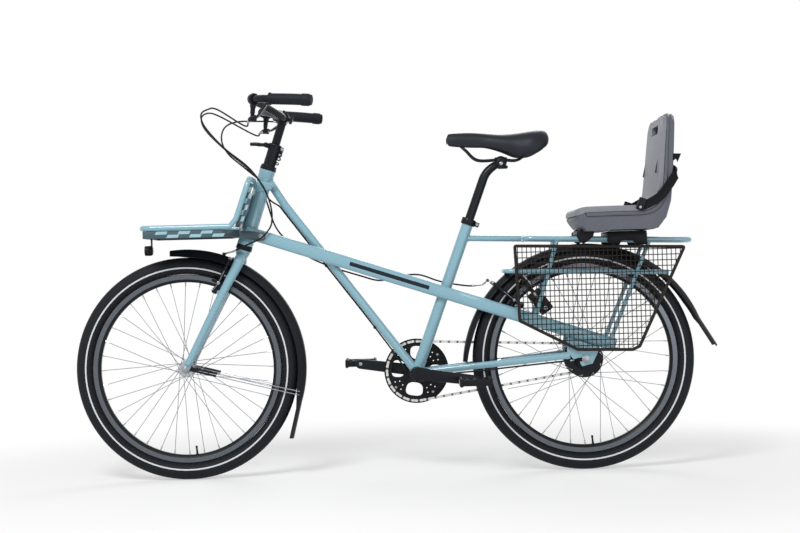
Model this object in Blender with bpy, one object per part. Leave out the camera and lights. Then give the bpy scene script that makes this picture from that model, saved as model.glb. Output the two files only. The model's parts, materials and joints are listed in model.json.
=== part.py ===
"""Utility bike with a front rack, a rear rack, a child seat and a wire guard beside the rear wheel.

Lengths are metres and angles are degrees. Places are measured from a point on the ground under the
front axle: +X is the rear, -Y is the bike's left side and +Z is up. The empty that carries every piece
moves the whole bike so that its box is centred over the origin.
"""
import math

import bmesh
import bpy
from mathutils import Matrix, Vector

# Clearances
GAP = 0.0003
RUNNING_GAP = 0.0006

# Wheels
WHEELBASE = 1.177
TYRE_RADIUS = 0.3295
TYRE_WIDTH = 0.050
RIM_RADIUS = 0.280
RIM_DEPTH = 0.024
RIM_WIDTH = 0.025
WHEEL_SIDES = 32
SPOKE_COUNT = 36
SPOKE_RADIUS = 0.001
AXLE_RADIUS = 0.005
FRONT_HUB_WIDTH = 0.100
FRONT_FLANGE_RADIUS = 0.024
REAR_HUB_WIDTH = 0.135
REAR_FLANGE_RADIUS = 0.0555
FLANGE_SIDE = 0.033
FLANGE_THICKNESS = 0.0036

# Front end
HEAD_ANGLE = 71.6
FORK_RAKE = 0.0566
FORK_HEIGHT = 0.4008
HEAD_LENGTH = 0.232
HEAD_RADIUS = 0.023
HEAD_BORE = 0.017
STEERER_RADIUS = 0.0143
POST_RADIUS = 0.0127
HEADSET_RADIUS = 0.0245
HEADSET_HEIGHT = 0.015
SLEEVE_RADIUS = 0.018
SLEEVE_LENGTH = 0.066
STEM_RISE = 0.081
STEM_POST_LENGTH = 0.235
CROWN_SIDE = 0.048
BLADE_RADIUS = 0.015
BLADE_END_RADIUS = 0.010
BLADE_BEND = 0.045
FORK_END_THICKNESS = 0.006

# Frame
BRACKET_X = 0.681
BRACKET_Z = 0.301
BRACKET_WIDTH = 0.068
BRACKET_RADIUS = 0.020
SEAT_ANGLE = 69.5
SEAT_TUBE_LENGTH = 0.4815
SEAT_TUBE_RADIUS = 0.017
DOWN_TUBE_RADIUS = 0.0127
DOWN_TUBE_AT_HEAD = 0.214
DOWN_TUBE_BEND = (0.302, 0.808)
TWIN_AT_HEAD = 0.0387
TWIN_WIDTH = 0.022
TWIN_HEIGHT = 0.038
TWIN_OVERHANG = 0.085
TWIN_END_RISE = 0.0408
TWIN_END_SIDE = 0.066
STAY_WIDTH = 0.016
STAY_HEIGHT = 0.020
DROPOUT_THICKNESS = 0.006

# Seat
POST_BORE = 0.0139
SEATPOST_RADIUS = 0.0136
SEATPOST_RISE = 0.150
SEATPOST_DEPTH = 0.130
SEATPOST_TRAVEL = 0.050
SADDLE_LENGTH = 0.300
SADDLE_WIDTH = 0.160
SADDLE_NOSE_X = 0.788
SADDLE_TOP = 1.008
RAIL_RADIUS = 0.0035

# Drive
SPINDLE_RADIUS = 0.0122
SPINDLE_END_RADIUS = 0.0085
CHAINLINE = 0.050
RING_RADIUS = 0.089
SPROCKET_RADIUS = 0.0406
RING_THICKNESS = 0.0024
CHAIN_WIDTH = 0.009
CHAIN_HEIGHT = 0.0086
GUARD_DISC_RADIUS = 0.097
CRANK_LENGTH = 0.170
CRANK_TILT = 8.0
CRANK_SIDE = 0.085
PEDAL_SIDE = 0.140
PEDAL_WIDTH = 0.095
PEDAL_LENGTH = 0.095
PEDAL_HEIGHT = 0.026
PEDAL_PIN_RADIUS = 0.006

# Brakes and bar
BRAKE_HEIGHT = 0.2465
BRAKE_ARM_LENGTH = 0.105
BRAKE_ARM_SIDE = 0.044
BRAKE_STUD_RADIUS = 0.0045
PAD_LENGTH = 0.050
PAD_GAP = 0.0018
BAR_RADIUS = 0.011
BAR_RISE = 0.036
BAR_REACH = 0.075
BAR_HALF_WIDTH = 0.292
GRIP_RADIUS = 0.016
GRIP_LENGTH = 0.122
LEVER_RADIUS = 0.0045

# Racks, guards and child seat
RACK_SIDE = 0.062
RACK_TUBE_RADIUS = 0.008
RACK_FRONT_X = 1.005
RACK_REAR_X = 1.495
RACK_HEIGHT = 0.6945
LOWER_RAIL_SIDE = 0.069
LOWER_RAIL_RADIUS = 0.007
RACK_STAY_RADIUS = 0.006
GUARD_SIDE = 0.088
GUARD_TUBE_RADIUS = 0.004
NET_WIRE = 0.003
NET_PITCH_X = 0.0600
NET_PITCH_Z = 0.0600
MUDGUARD_HALF_WIDTH = 0.031
MUDGUARD_DROP = 0.012
MUDGUARD_WALL = 0.002
FRONT_GUARD_RADIUS = 0.354
REAR_GUARD_RADIUS = 0.367
REAR_GUARD_CENTRE = (1.185, 0.303)
FLAP_TIP = (1.5748, 0.3605)
FRONT_RACK_SIDE = 0.145
FRONT_RACK_Z = 0.745
FRONT_RACK_NOSE = 0.105
FRONT_RACK_TUBE_RADIUS = 0.008
TRAY_DEPTH = 0.022
TRAY_SHEET = 0.002
CHILD_SEAT_HALF_WIDTH = 0.150
CHILD_SEAT_WALL = 0.016
LOCK_RADIUS = 0.045
LOCK_BAR_RADIUS = 0.0035
CABLE_RADIUS = 0.0025

SIDES = (("left", -1), ("right", 1))
ACROSS = Vector((0, 1, 0))

# Colour, roughness and metallic value of each finish
FINISHES = {
    "frame_blue": ((0.24, 0.46, 0.54), 0.35, 0.0),
    "dark_teal": ((0.03, 0.065, 0.08), 0.4, 0.0),
    "black": ((0.012, 0.013, 0.016), 0.5, 0.0),
    "rubber": ((0.025, 0.03, 0.036), 0.8, 0.0),
    "silver": ((0.62, 0.63, 0.64), 0.3, 1.0),
    "chrome": ((0.75, 0.76, 0.78), 0.12, 1.0),
    "dark_wire": ((0.05, 0.045, 0.035), 0.5, 0.0),
    "seat_grey": ((0.12, 0.13, 0.15), 0.6, 0.0),
    "saddle": ((0.02, 0.024, 0.035), 0.7, 0.0),
}

for old in list(bpy.data.objects):
    bpy.data.objects.remove(old)


# Shapes

def to_mesh(bm):
    """Close a bmesh into a mesh whose faces point out and whose round sides are smooth."""
    bmesh.ops.recalc_face_normals(bm, faces=bm.faces)
    mesh = bpy.data.meshes.new("shape")
    bm.to_mesh(mesh)
    bm.free()
    mesh.shade_smooth()
    mesh.set_sharp_from_angle(angle=math.radians(40))
    return mesh


def loft(rings, closed=False):
    """Skin rings that have as many points as each other, with flat ends unless closed."""
    bm = bmesh.new()
    loops = [[bm.verts.new(point) for point in ring] for ring in rings]
    pairs = list(zip(loops, loops[1:]))
    if closed:
        pairs.append((loops[-1], loops[0]))
    else:
        bm.faces.new(loops[0])
        bm.faces.new(loops[-1])
    for near, far in pairs:
        for index in range(len(near)):
            after = (index + 1) % len(near)
            bm.faces.new((near[index], near[after], far[after], far[index]))
    return to_mesh(bm)


def tangents(path, closed):
    """Direction of the path at each of its points."""
    count = len(path)
    found = []
    for index in range(count):
        before = path[index - 1] if closed or index else path[0]
        after = path[(index + 1) % count] if closed or index < count - 1 else path[-1]
        found.append((after - before).normalized())
    return found


def tube(path, size, sides=8, closed=False):
    """Bar along a path. Size is a radius, or (half across, half up), or a list with one of these a point."""
    path = [Vector(point) for point in path]
    sizes = size if isinstance(size, list) else [size] * len(path)
    across = None
    rings = []
    for place, along, half in zip(path, tangents(path, closed), sizes):
        if across is None:
            across = ACROSS if abs(along.y) < 0.9 else Vector((0, 0, 1))
        across = (across - along * across.dot(along)).normalized()
        up = along.cross(across)
        wide, tall = half if isinstance(half, tuple) else (half, half)
        rings.append([
            place + across * wide * math.cos(turn) + up * tall * math.sin(turn)
            for turn in (math.tau * step / sides for step in range(sides))
        ])
    return loft(rings, closed)


def turned(outline, origin, axis, sides=16, closed=False):
    """Turn (along, radius) points about an axis; a closed outline makes a ring with a bore."""
    axis = axis.normalized()
    first = (ACROSS if abs(axis.y) < 0.9 else Vector((1, 0, 0))).cross(axis).normalized()
    second = axis.cross(first)
    bm = bmesh.new()
    loops = []
    for along, radius in outline:
        centre = origin + axis * along
        if radius == 0:
            loops.append([bm.verts.new(centre)])
            continue
        turns = (math.tau * step / sides for step in range(sides))
        loops.append([
            bm.verts.new(centre + (first * math.cos(turn) + second * math.sin(turn)) * radius) for turn in turns
        ])
    pairs = list(zip(loops, loops[1:]))
    if closed:
        pairs.append((loops[-1], loops[0]))
    for near, far in pairs:
        for index in range(sides):
            after = (index + 1) % sides
            corners = (near[index % len(near)], near[after % len(near)], far[after % len(far)], far[index % len(far)])
            distinct = list(dict.fromkeys(corners))
            if len(distinct) > 2:
                bm.faces.new(distinct)
    return to_mesh(bm)


def rod(start, end, radius, sides=8):
    """Straight round bar."""
    return tube([start, end], radius, sides)


def slab(outline, offset):
    """Flat outline pushed along an offset."""
    outline = [Vector(point) for point in outline]
    return loft([outline, [point + offset for point in outline]])


def upright_slab(outline, near, far):
    """Outline of (x, z) points that runs across the bike from y = near to y = far."""
    return slab([(x, near, z) for x, z in outline], ACROSS * (far - near))


def block(centre, size, along=Vector((1, 0, 0)), up=Vector((0, 0, 1))):
    """Box whose length lies on along and whose height lies on up."""
    side = up.cross(along).normalized()
    length, width, height = (value / 2 for value in size)
    outline = [
        centre - along * length + side * width * a + up * height * b for a, b in ((-1, -1), (1, -1), (1, 1), (-1, 1))
    ]
    return slab(outline, along * length * 2)


def curve(points, steps=6):
    """Smooth curve through the points, as a list of points."""
    points = [Vector(point) for point in points]
    padded = [points[0] * 2 - points[1]] + points + [points[-1] * 2 - points[-2]]
    found = []
    for a, b, c, d in zip(padded, padded[1:], padded[2:], padded[3:]):
        for step in range(steps):
            t = step / steps
            found.append(0.5 * (2 * b + (c - a) * t + (2 * a - 5 * b + 4 * c - d) * t * t
                                + (3 * b - a - 3 * c + d) * t * t * t))
    return found + [points[-1]]


def rounded(points, radius, steps=4, closed=False):
    """Straight runs through the points, with each corner rounded."""
    points = [Vector(point) for point in points]
    found = []
    for index, corner in enumerate(points):
        if not closed and index in (0, len(points) - 1):
            found.append(corner)
            continue
        before = points[index - 1] - corner
        after = points[(index + 1) % len(points)] - corner
        half = before.angle(after) / 2
        reach = radius / math.tan(half)
        start = corner + before.normalized() * reach
        end = corner + after.normalized() * reach
        for step in range(steps + 1):
            t = step / steps
            found.append(start * (1 - t) ** 2 + corner * 2 * t * (1 - t) + end * t * t)
    return found


def trimmed(path, start, end, steps):
    """Points at even spacing on a path, between two distances from its start."""
    lengths = [0.0]
    for before, after in zip(path, path[1:]):
        lengths.append(lengths[-1] + (after - before).length)
    found = []
    for step in range(steps + 1):
        wanted = start + (end - start) * step / steps
        index = max(i for i, length in enumerate(lengths[:-1]) if length <= wanted or i == 0)
        share = (wanted - lengths[index]) / (lengths[index + 1] - lengths[index])
        found.append(path[index].lerp(path[index + 1], share))
    return found


def path_length(path):
    return sum((after - before).length for before, after in zip(path, path[1:]))


def circle_point(centre, radius, angle):
    """Point (x, z) on a circle in the bike's plane."""
    return (centre[0] + radius * math.cos(math.radians(angle)), centre[1] + radius * math.sin(math.radians(angle)))


# Objects

def pivot(name, place, carrier=None):
    """Empty on a joint's axis, which carries the pieces that the joint moves."""
    empty = bpy.data.objects.new(name, None)
    empty["place"] = place
    empty.location = place - (Vector(carrier["place"]) if carrier else Vector())
    empty.parent = carrier
    bpy.context.collection.objects.link(empty)
    return empty


def link(name, mesh, carrier):
    """Object for a mesh made in the bike's frame, with its origin on its carrier."""
    mesh.transform(Matrix.Translation(-Vector(carrier["place"])))
    thing = bpy.data.objects.new(name, mesh)
    thing.parent = carrier
    bpy.context.collection.objects.link(thing)
    return thing


def piece(name, finish, carrier, base, joins=(), cuts=()):
    """Sub-part made of one base shape, with others joined to it and then cut from it."""
    thing = link(name, base, carrier)
    for operation, shapes in (("UNION", joins), ("DIFFERENCE", cuts)):
        for number, mesh in enumerate(shapes, 1):
            tool = link(f"{name}.{operation.lower()}{number}", mesh, carrier)
            tool.hide_render = True
            tool.display_type = "WIRE"
            modifier = thing.modifiers.new(tool.name, "BOOLEAN")
            modifier.operation = operation
            modifier.object = tool
            modifier.solver = "EXACT"
    paint(thing, finish)
    return thing


def paint(thing, finish):
    """Give an object its own material."""
    colour, roughness, metallic = FINISHES[finish]
    material = bpy.data.materials.new(thing.name)
    material.use_nodes = True
    shader = material.node_tree.nodes["Principled BSDF"]
    shader.inputs["Base Color"].default_value = (*colour, 1)
    shader.inputs["Roughness"].default_value = roughness
    shader.inputs["Metallic"].default_value = metallic
    thing.data.materials.append(material)


def cord(name, finish, carrier, points):
    """Cable through its own points."""
    path = [Vector(point) for point in points]
    line = bpy.data.curves.new(name, "CURVE")
    line.dimensions = "3D"
    line.bevel_depth = CABLE_RADIUS
    line.bevel_resolution = 2
    line.use_fill_caps = True
    line.resolution_u = 1
    spline = line.splines.new("POLY")
    spline.points.add(len(path) - 1)
    for point, place in zip(spline.points, path):
        point.co = (*(place - Vector(carrier["place"])), 1)
    thing = bpy.data.objects.new(name, line)
    thing.parent = carrier
    bpy.context.collection.objects.link(thing)
    paint(thing, finish)
    return thing


# Places that several pieces share

front_axle = Vector((0, 0, TYRE_RADIUS))
rear_axle = Vector((WHEELBASE, 0, TYRE_RADIUS))
bracket = Vector((BRACKET_X, 0, BRACKET_Z))

head_up = Vector((math.cos(math.radians(HEAD_ANGLE)), 0, math.sin(math.radians(HEAD_ANGLE))))
head_forward = Vector((-head_up.z, 0, head_up.x))
head_foot = front_axle - head_forward * FORK_RAKE + head_up * FORK_HEIGHT
seat_up = Vector((math.cos(math.radians(SEAT_ANGLE)), 0, math.sin(math.radians(SEAT_ANGLE))))
seat_back = Vector((seat_up.z, 0, -seat_up.x))


def on_head(along, forward=0.0, side=0.0):
    """Place beside the steering axis, measured up from the head tube's lower end."""
    return head_foot + head_up * along + head_forward * forward + ACROSS * side


def on_seat(along, back=0.0, side=0.0):
    """Place beside the seat tube's axis, measured up from the bottom bracket."""
    return bracket + seat_up * along + seat_back * back + ACROSS * side


bike = pivot("bike", Vector((0, 0, 0)))
bike.location = (-(FLAP_TIP[0] - TYRE_RADIUS) / 2, 0, 0)
steering = pivot("steering_axis", on_head(0), bike)
bars = pivot("bar_carrier", on_head(HEAD_LENGTH), steering)

# Head tube, seat tube with the bottom bracket's shell, and down tube

head_clearance = HEAD_RADIUS + GAP
piece(
    "head_tube", "frame_blue", bike,
    turned([(0, HEAD_BORE), (0, HEAD_RADIUS), (HEAD_LENGTH, HEAD_RADIUS), (HEAD_LENGTH, HEAD_BORE)],
           on_head(0), head_up, closed=True),
)


def head_cutter():
    """Space that the head tube takes."""
    return rod(on_head(-0.05), on_head(HEAD_LENGTH + 0.05), head_clearance, 24)


def seat_tube_cutter():
    """Space that the seat tube takes above the bottom bracket."""
    return rod(on_seat(-0.02), on_seat(SEAT_TUBE_LENGTH + 0.05), SEAT_TUBE_RADIUS + GAP, 16)


def bracket_cutter():
    """Space that the bottom bracket's shell takes."""
    reach = ACROSS * (BRACKET_WIDTH / 2 + 0.01)
    return rod(bracket - reach, bracket + reach, BRACKET_RADIUS + GAP, 16)


half_bracket = ACROSS * BRACKET_WIDTH / 2
bore_reach = ACROSS * (BRACKET_WIDTH / 2 + 0.01)
piece(
    "seat_tube", "frame_blue", bike,
    rod(bracket, on_seat(SEAT_TUBE_LENGTH), SEAT_TUBE_RADIUS, 16),
    joins=[rod(bracket - half_bracket, bracket + half_bracket, BRACKET_RADIUS, 16)],
    cuts=[
        rod(on_seat(SEAT_TUBE_LENGTH - SEATPOST_DEPTH - SEATPOST_TRAVEL - 0.02),
            on_seat(SEAT_TUBE_LENGTH + 0.02), POST_BORE, 16),
        rod(bracket - bore_reach, bracket + bore_reach, SPINDLE_RADIUS + GAP, 16),
    ],
)
down_tube_path = rounded(
    [on_head(DOWN_TUBE_AT_HEAD), (DOWN_TUBE_BEND[0], 0, DOWN_TUBE_BEND[1]), bracket], 0.10,
)
piece(
    "down_tube", "frame_blue", bike,
    tube(down_tube_path, DOWN_TUBE_RADIUS, 12),
    cuts=[head_cutter(), bracket_cutter(), seat_tube_cutter()],
)

# Twin side tubes, which run from the head tube past the seat tube to the rear axle

twin_start = on_head(TWIN_AT_HEAD)
twin_end = rear_axle + Vector((TWIN_OVERHANG, 0, TWIN_END_RISE))
twin_slope = (twin_end.z - twin_start.z) / (twin_end.x - twin_start.x)
twin_side = SEAT_TUBE_RADIUS + GAP + TWIN_WIDTH / 2
twin_upright = math.hypot(1, twin_slope) * TWIN_HEIGHT / 2


def twin_z(x):
    """Height of the side tubes' centre line."""
    return twin_start.z + twin_slope * (x - twin_start.x)


def twin_path(hand):
    """Centre line of one side tube."""
    stations = (
        (head_foot.x + 0.006, twin_side),
        (BRACKET_X + 0.125, twin_side),
        (BRACKET_X + 0.195, twin_side + 0.0177),
        (BRACKET_X + 0.420, twin_side + 0.0317),
        (twin_end.x, TWIN_END_SIDE),
    )
    return [Vector((x, hand * side, twin_z(x))) for x, side in stations]


def twin_side_at(x):
    """Distance of the side tubes' centre line from the middle plane."""
    path = twin_path(1)
    for before, after in zip(path, path[1:]):
        if x <= after.x:
            break
    return before.lerp(after, (x - before.x) / (after.x - before.x)).y


def twin_cutter(hand):
    """Space that one side tube takes."""
    return tube(twin_path(hand), (TWIN_WIDTH / 2 + GAP, TWIN_HEIGHT / 2 + GAP), 14)


rear_arm_angle = 139.5
rear_arm_up = Vector((math.cos(math.radians(rear_arm_angle)), 0, math.sin(math.radians(rear_arm_angle))))
rear_arm_out = Vector((rear_arm_up.z, 0, -rear_arm_up.x))
rear_arm_base = rear_axle + rear_arm_up * BRAKE_HEIGHT + rear_arm_out * 0.004
rear_arm_side = 0.047
for word, hand in SIDES:
    stud = rear_arm_base + ACROSS * hand * rear_arm_side
    piece(
        f"lateral_tube_{word}", "frame_blue", bike,
        tube(twin_path(hand), (TWIN_WIDTH / 2, TWIN_HEIGHT / 2), 14),
        joins=[rod(stud - rear_arm_out * 0.024, stud + rear_arm_out * 0.008, BRAKE_STUD_RADIUS)],
        cuts=[head_cutter()],
    )

# Chainstays with their end plates

dropout_inner = REAR_HUB_WIDTH / 2 + GAP
stay_end_side = dropout_inner + DROPOUT_THICKNESS / 2 - 0.003


def dropout_top(x):
    """Height of the end plate's top edge, just under the side tube."""
    return twin_z(x) - twin_upright - GAP


def dropout_outline():
    """Side view of an end plate, with the axle's slot open to the front."""
    axle_x, axle_z = rear_axle.x, rear_axle.z
    slot = AXLE_RADIUS + 0.0005
    seat = [circle_point((axle_x, axle_z), slot, angle) for angle in (90, 60, 30, 0, -30, -60, -90)]
    return [
        (axle_x - 0.050, dropout_top(axle_x - 0.050)),
        (axle_x - 0.055, axle_z + 0.025),
        (axle_x - 0.036, axle_z + 0.001),
        (axle_x - 0.020, axle_z + slot),
        *seat,
        (axle_x - 0.017, axle_z - slot),
        (axle_x - 0.017, axle_z - 0.010),
        (axle_x - 0.012, axle_z - 0.020),
        (axle_x + 0.019, axle_z - 0.013),
        (axle_x + 0.037, axle_z + 0.023),
        (axle_x + 0.037, dropout_top(axle_x + 0.037)),
    ]


for word, hand in SIDES:
    stay_path = [
        bracket + ACROSS * hand * 0.024,
        bracket + Vector((0.110, hand * 0.0375, 0.010)),
        bracket + Vector((0.170, hand * 0.044, 0.0157)),
        rear_axle + Vector((-0.046, hand * stay_end_side, 0.013)),
    ]
    piece(
        f"chainstay_{word}", "frame_blue", bike,
        tube(stay_path, (STAY_WIDTH / 2, STAY_HEIGHT / 2), 10),
        joins=[upright_slab(dropout_outline(), hand * dropout_inner, hand * (dropout_inner + DROPOUT_THICKNESS))],
        cuts=[bracket_cutter(), seat_tube_cutter()],
    )

# Seat clamp

clamp_foot = SEAT_TUBE_LENGTH - 0.019
clamp_axis = on_seat(clamp_foot)
piece(
    "seat_clamp", "silver", bike,
    rod(clamp_axis, on_seat(SEAT_TUBE_LENGTH), SEAT_TUBE_RADIUS + 0.0045, 16),
    joins=[
        block(on_seat(SEAT_TUBE_LENGTH - 0.0095, SEAT_TUBE_RADIUS + 0.006), (0.016, 0.016, 0.014), seat_back, seat_up),
        rod(on_seat(SEAT_TUBE_LENGTH - 0.0095, SEAT_TUBE_RADIUS + 0.008, -0.014),
            on_seat(SEAT_TUBE_LENGTH - 0.0095, SEAT_TUBE_RADIUS + 0.008, 0.014), 0.004),
    ],
    cuts=[seat_tube_cutter()],
)

# Rear rack: a top loop on a neck, and a lower rail loop with four stays down to the side tubes


def rack_z(x):
    """Height of the top loop's tube, which falls a little to the rear."""
    return RACK_HEIGHT - 0.0335 * (x - 0.841)


def lower_rail_z(x):
    """Height of the lower rails."""
    return 0.595 - 0.0324 * (x - 0.930)


rack_front = RACK_FRONT_X
loop = rounded([
    (rack_front, -RACK_SIDE, rack_z(rack_front)),
    (RACK_REAR_X, -RACK_SIDE, rack_z(RACK_REAR_X)),
    (RACK_REAR_X, RACK_SIDE, rack_z(RACK_REAR_X)),
    (rack_front, RACK_SIDE, rack_z(rack_front)),
], 0.035, 3, closed=True)
rack_bars = [
    rod((x, -RACK_SIDE, rack_z(x)), (x, RACK_SIDE, rack_z(x)), 0.005, 8) for x in (1.210, 1.390)
]
neck_x = BRACKET_X + (rack_z(BRACKET_X + 0.147) - BRACKET_Z) / math.tan(math.radians(SEAT_ANGLE))
piece(
    "rear_rack", "frame_blue", bike,
    tube(loop, RACK_TUBE_RADIUS, 8, closed=True),
    joins=[
        rod((neck_x, 0, rack_z(neck_x)), (rack_front + 0.003, 0, rack_z(rack_front)), 0.009, 10),
        *rack_bars,
    ],
    cuts=[seat_tube_cutter()],
)

rail_front = 0.9475
rail_rear = 1.424
stay_feet = ((1.102, 1.036), (1.372, 1.2535))
rail_loop = rounded([
    (rail_rear, -LOWER_RAIL_SIDE, lower_rail_z(rail_rear)),
    (rail_front, -LOWER_RAIL_SIDE, lower_rail_z(rail_front)),
    (rail_front, LOWER_RAIL_SIDE, lower_rail_z(rail_front)),
    (rail_rear, LOWER_RAIL_SIDE, lower_rail_z(rail_rear)),
], 0.030, 3)
rack_stays = []
for top_x, foot_x in stay_feet:
    for word, hand in SIDES:
        top = Vector((top_x, hand * RACK_SIDE, rack_z(top_x)))
        foot = Vector((foot_x, hand * (twin_side_at(foot_x) + 0.001), twin_z(foot_x)))
        rack_stays.append(rod(top, foot, RACK_STAY_RADIUS, 6))
piece(
    "rack_stays", "frame_blue", bike,
    tube(rail_loop, LOWER_RAIL_RADIUS, 8),
    joins=rack_stays,
    cuts=[
        twin_cutter(-1),
        twin_cutter(1),
        tube(loop, RACK_TUBE_RADIUS + GAP, 8, closed=True),
    ],
)

# Front rack: one tube loop with a clamp round the head tube, and a folded tray under it

nose_x = -FRONT_RACK_NOSE
rack_top = on_head(0.19, HEAD_RADIUS + FRONT_RACK_TUBE_RADIUS + GAP)
rack_bend = Vector((0.1695, 0, FRONT_RACK_Z + 0.021))
rack_loop = rounded([
    (nose_x, -FRONT_RACK_SIDE, FRONT_RACK_Z),
    (0.152, -FRONT_RACK_SIDE, FRONT_RACK_Z),
    (rack_bend.x, -FRONT_RACK_SIDE, rack_bend.z),
    (rack_top.x, -FRONT_RACK_SIDE, rack_top.z),
    (rack_top.x, FRONT_RACK_SIDE, rack_top.z),
    (rack_bend.x, FRONT_RACK_SIDE, rack_bend.z),
    (0.152, FRONT_RACK_SIDE, FRONT_RACK_Z),
    (nose_x, FRONT_RACK_SIDE, FRONT_RACK_Z),
], 0.012, 2, closed=True)
clamp_plate = [(0.2150, 0.8824), (0.2773, 0.8720), (0.2650, 0.8547), (0.2230, 0.8467), (0.2060, 0.866)]
clamp_joins = []
for word, hand in SIDES:
    inner = hand * (HEAD_RADIUS - 0.0005)
    outer = hand * (HEAD_RADIUS + 0.0035)
    clamp_joins.append(upright_slab(clamp_plate, inner, outer))
    clamp_joins.append(rod((0.2694, hand * (HEAD_RADIUS + 0.0005), 0.8646),
                           (0.2694, hand * (HEAD_RADIUS + 0.0095), 0.8646), 0.006))
piece(
    "front_rack_tube", "frame_blue", bike,
    tube(rack_loop, FRONT_RACK_TUBE_RADIUS, 8, closed=True),
    joins=clamp_joins,
    cuts=[head_cutter()],
)

deck_top = FRONT_RACK_Z - FRONT_RACK_TUBE_RADIUS - GAP
deck_side = FRONT_RACK_SIDE
ear_side = twin_side + TWIN_WIDTH / 2 + GAP
ear_x = 0.2327
deck_plan = [
    (nose_x + 0.004, deck_side), (0.130, deck_side), (ear_x - 0.065, ear_side + 0.0035),
]
deck_outline = [(x, -y) for x, y in deck_plan] + [(x, y) for x, y in reversed(deck_plan)]
deck = slab([(x, y, deck_top - TRAY_SHEET) for x, y in deck_outline], Vector((0, 0, TRAY_SHEET)))
skirts = []
for near, far in zip(deck_outline, deck_outline[1:] + deck_outline[:1]):
    if near[0] > 0.16 and far[0] > 0.16:
        continue
    start = Vector((*near, deck_top - TRAY_DEPTH))
    end = Vector((*far, deck_top - TRAY_DEPTH))
    run = (end - start).normalized()
    inward = Vector((-run.y, run.x, 0)) * TRAY_SHEET
    if inward.dot(Vector((0.05, 0, 0)) - start) < 0:
        inward = -inward
    start -= run * 0.0002
    end += run * 0.0002
    wall = [start, end, end + inward, start + inward]
    skirts.append(slab(wall, Vector((0, 0, TRAY_DEPTH - 0.0005))))
ears = []
for word, hand in SIDES:
    inner = hand * ear_side
    outer = hand * (ear_side + 0.003)
    ear = [
        (ear_x - 0.074, deck_top - 0.0004), (ear_x - 0.074, deck_top - TRAY_DEPTH + 0.0006),
        (ear_x - 0.010, twin_z(ear_x) - 0.014), (ear_x + 0.012, twin_z(ear_x) - 0.010),
        (ear_x + 0.012, twin_z(ear_x) + 0.010), (ear_x - 0.010, twin_z(ear_x) + 0.014),
    ]
    ears.append(upright_slab(ear, inner, outer))
    ears.append(rod((ear_x, hand * (ear_side + 0.001), twin_z(ear_x)),
                    (ear_x, hand * (ear_side + 0.010), twin_z(ear_x)), 0.007))
back_up = (rack_top - rack_bend).normalized()
fin_half = 0.060
fin_top = rack_top - back_up * 0.045
fin_panel = slab(
    [
        (0.1460, -fin_half, deck_top - 0.001), (0.1460, fin_half, deck_top - 0.001),
        (fin_top.x, fin_half, fin_top.z), (fin_top.x, -fin_half, fin_top.z),
    ],
    Vector((TRAY_SHEET, 0, 0)),
)
fin_sides = []
for word, hand in SIDES:
    fin = [(0.1465, deck_top - 0.0005), (0.182, deck_top - 0.0005), (fin_top.x + 0.012, fin_top.z - 0.020),
           (fin_top.x + 0.0005, fin_top.z - 0.001)]
    fin_sides.append(upright_slab(fin, hand * (fin_half - TRAY_SHEET), hand * (fin_half + 0.0005)))
piece(
    "front_rack_tray", "dark_teal", bike,
    deck,
    joins=[*skirts, *ears, fin_panel, *fin_sides],
    cuts=[head_cutter()],
)

# Front lamp on a small plate behind the tray's front fold

lamp_z = 0.682
plate_x = nose_x + 0.004 + TRAY_SHEET + GAP
piece(
    "front_lamp", "black", bike,
    turned([(0, 0), (0, 0.012), (0.004, 0.0148), (0.020, 0.0148), (0.024, 0.010), (0.024, 0)],
           Vector((-0.1175, 0, lamp_z)), Vector((1, 0, 0)), 14),
    joins=[
        upright_slab([(plate_x, lamp_z + 0.006), (plate_x + 0.003, lamp_z + 0.006),
                      (plate_x + 0.003, deck_top - 0.004), (plate_x, deck_top - 0.004)], -0.010, 0.010),
    ],
)

# Headset, fork and stem

crown_seat = -HEADSET_HEIGHT - GAP * 2
lower_ring = [
    (-HEADSET_HEIGHT - GAP, STEERER_RADIUS + GAP), (-HEADSET_HEIGHT - GAP, HEADSET_RADIUS),
    (-GAP, HEADSET_RADIUS - 0.001), (-GAP, STEERER_RADIUS + GAP),
]
piece(
    "headset_lower", "silver", bike,
    turned(lower_ring, on_head(0), head_up, closed=True),
)

blade_start = on_head(-BLADE_BEND)
blade_down = (front_axle - blade_start).normalized()
blade_up = -blade_down
blade_front = Vector((-blade_up.z, 0, blade_up.x))
fork_end_side = FRONT_HUB_WIDTH / 2 + GAP + FORK_END_THICKNESS / 2
steerer_top = HEAD_LENGTH + HEADSET_HEIGHT + SLEEVE_LENGTH
fork_joins = []
blade_stop = front_axle - blade_down * 0.016
for word, hand in SIDES:
    blade_path = [
        on_head(-0.031, 0, hand * 0.012),
        on_head(-0.037, 0, hand * 0.033),
        on_head(-0.049, 0, hand * (CROWN_SIDE - 0.001)),
        on_head(-0.068, 0.0005, hand * CROWN_SIDE),
        blade_start.lerp(front_axle, 0.35) + ACROSS * hand * (CROWN_SIDE + 0.001),
        blade_stop + ACROSS * hand * fork_end_side,
    ]
    radii = [BLADE_RADIUS - 0.004, BLADE_RADIUS - 0.001, BLADE_RADIUS, BLADE_RADIUS, BLADE_RADIUS - 0.001,
             BLADE_END_RADIUS]
    fork_joins.append(tube(blade_path, radii, 8))
    ring = [front_axle + ACROSS * hand * (fork_end_side - FORK_END_THICKNESS / 2)
            + blade_up * 0.011 * math.sin(turn) + blade_front * 0.011 * math.cos(turn)
            for turn in (math.pi * step / 5 for step in range(5, 11))]
    tip = [ring[0] + blade_up * 0.026, ring[-1] + blade_up * 0.026]
    fork_joins.append(slab([*ring, tip[1], tip[0]], ACROSS * hand * FORK_END_THICKNESS))
    stud_foot = front_axle + blade_up * BRAKE_HEIGHT + ACROSS * hand * BRAKE_ARM_SIDE
    fork_joins.append(rod(stud_foot + blade_front * 0.004, stud_foot + blade_front * 0.032, BRAKE_STUD_RADIUS))
axle_hole_reach = ACROSS * (fork_end_side + 0.02)
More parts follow.
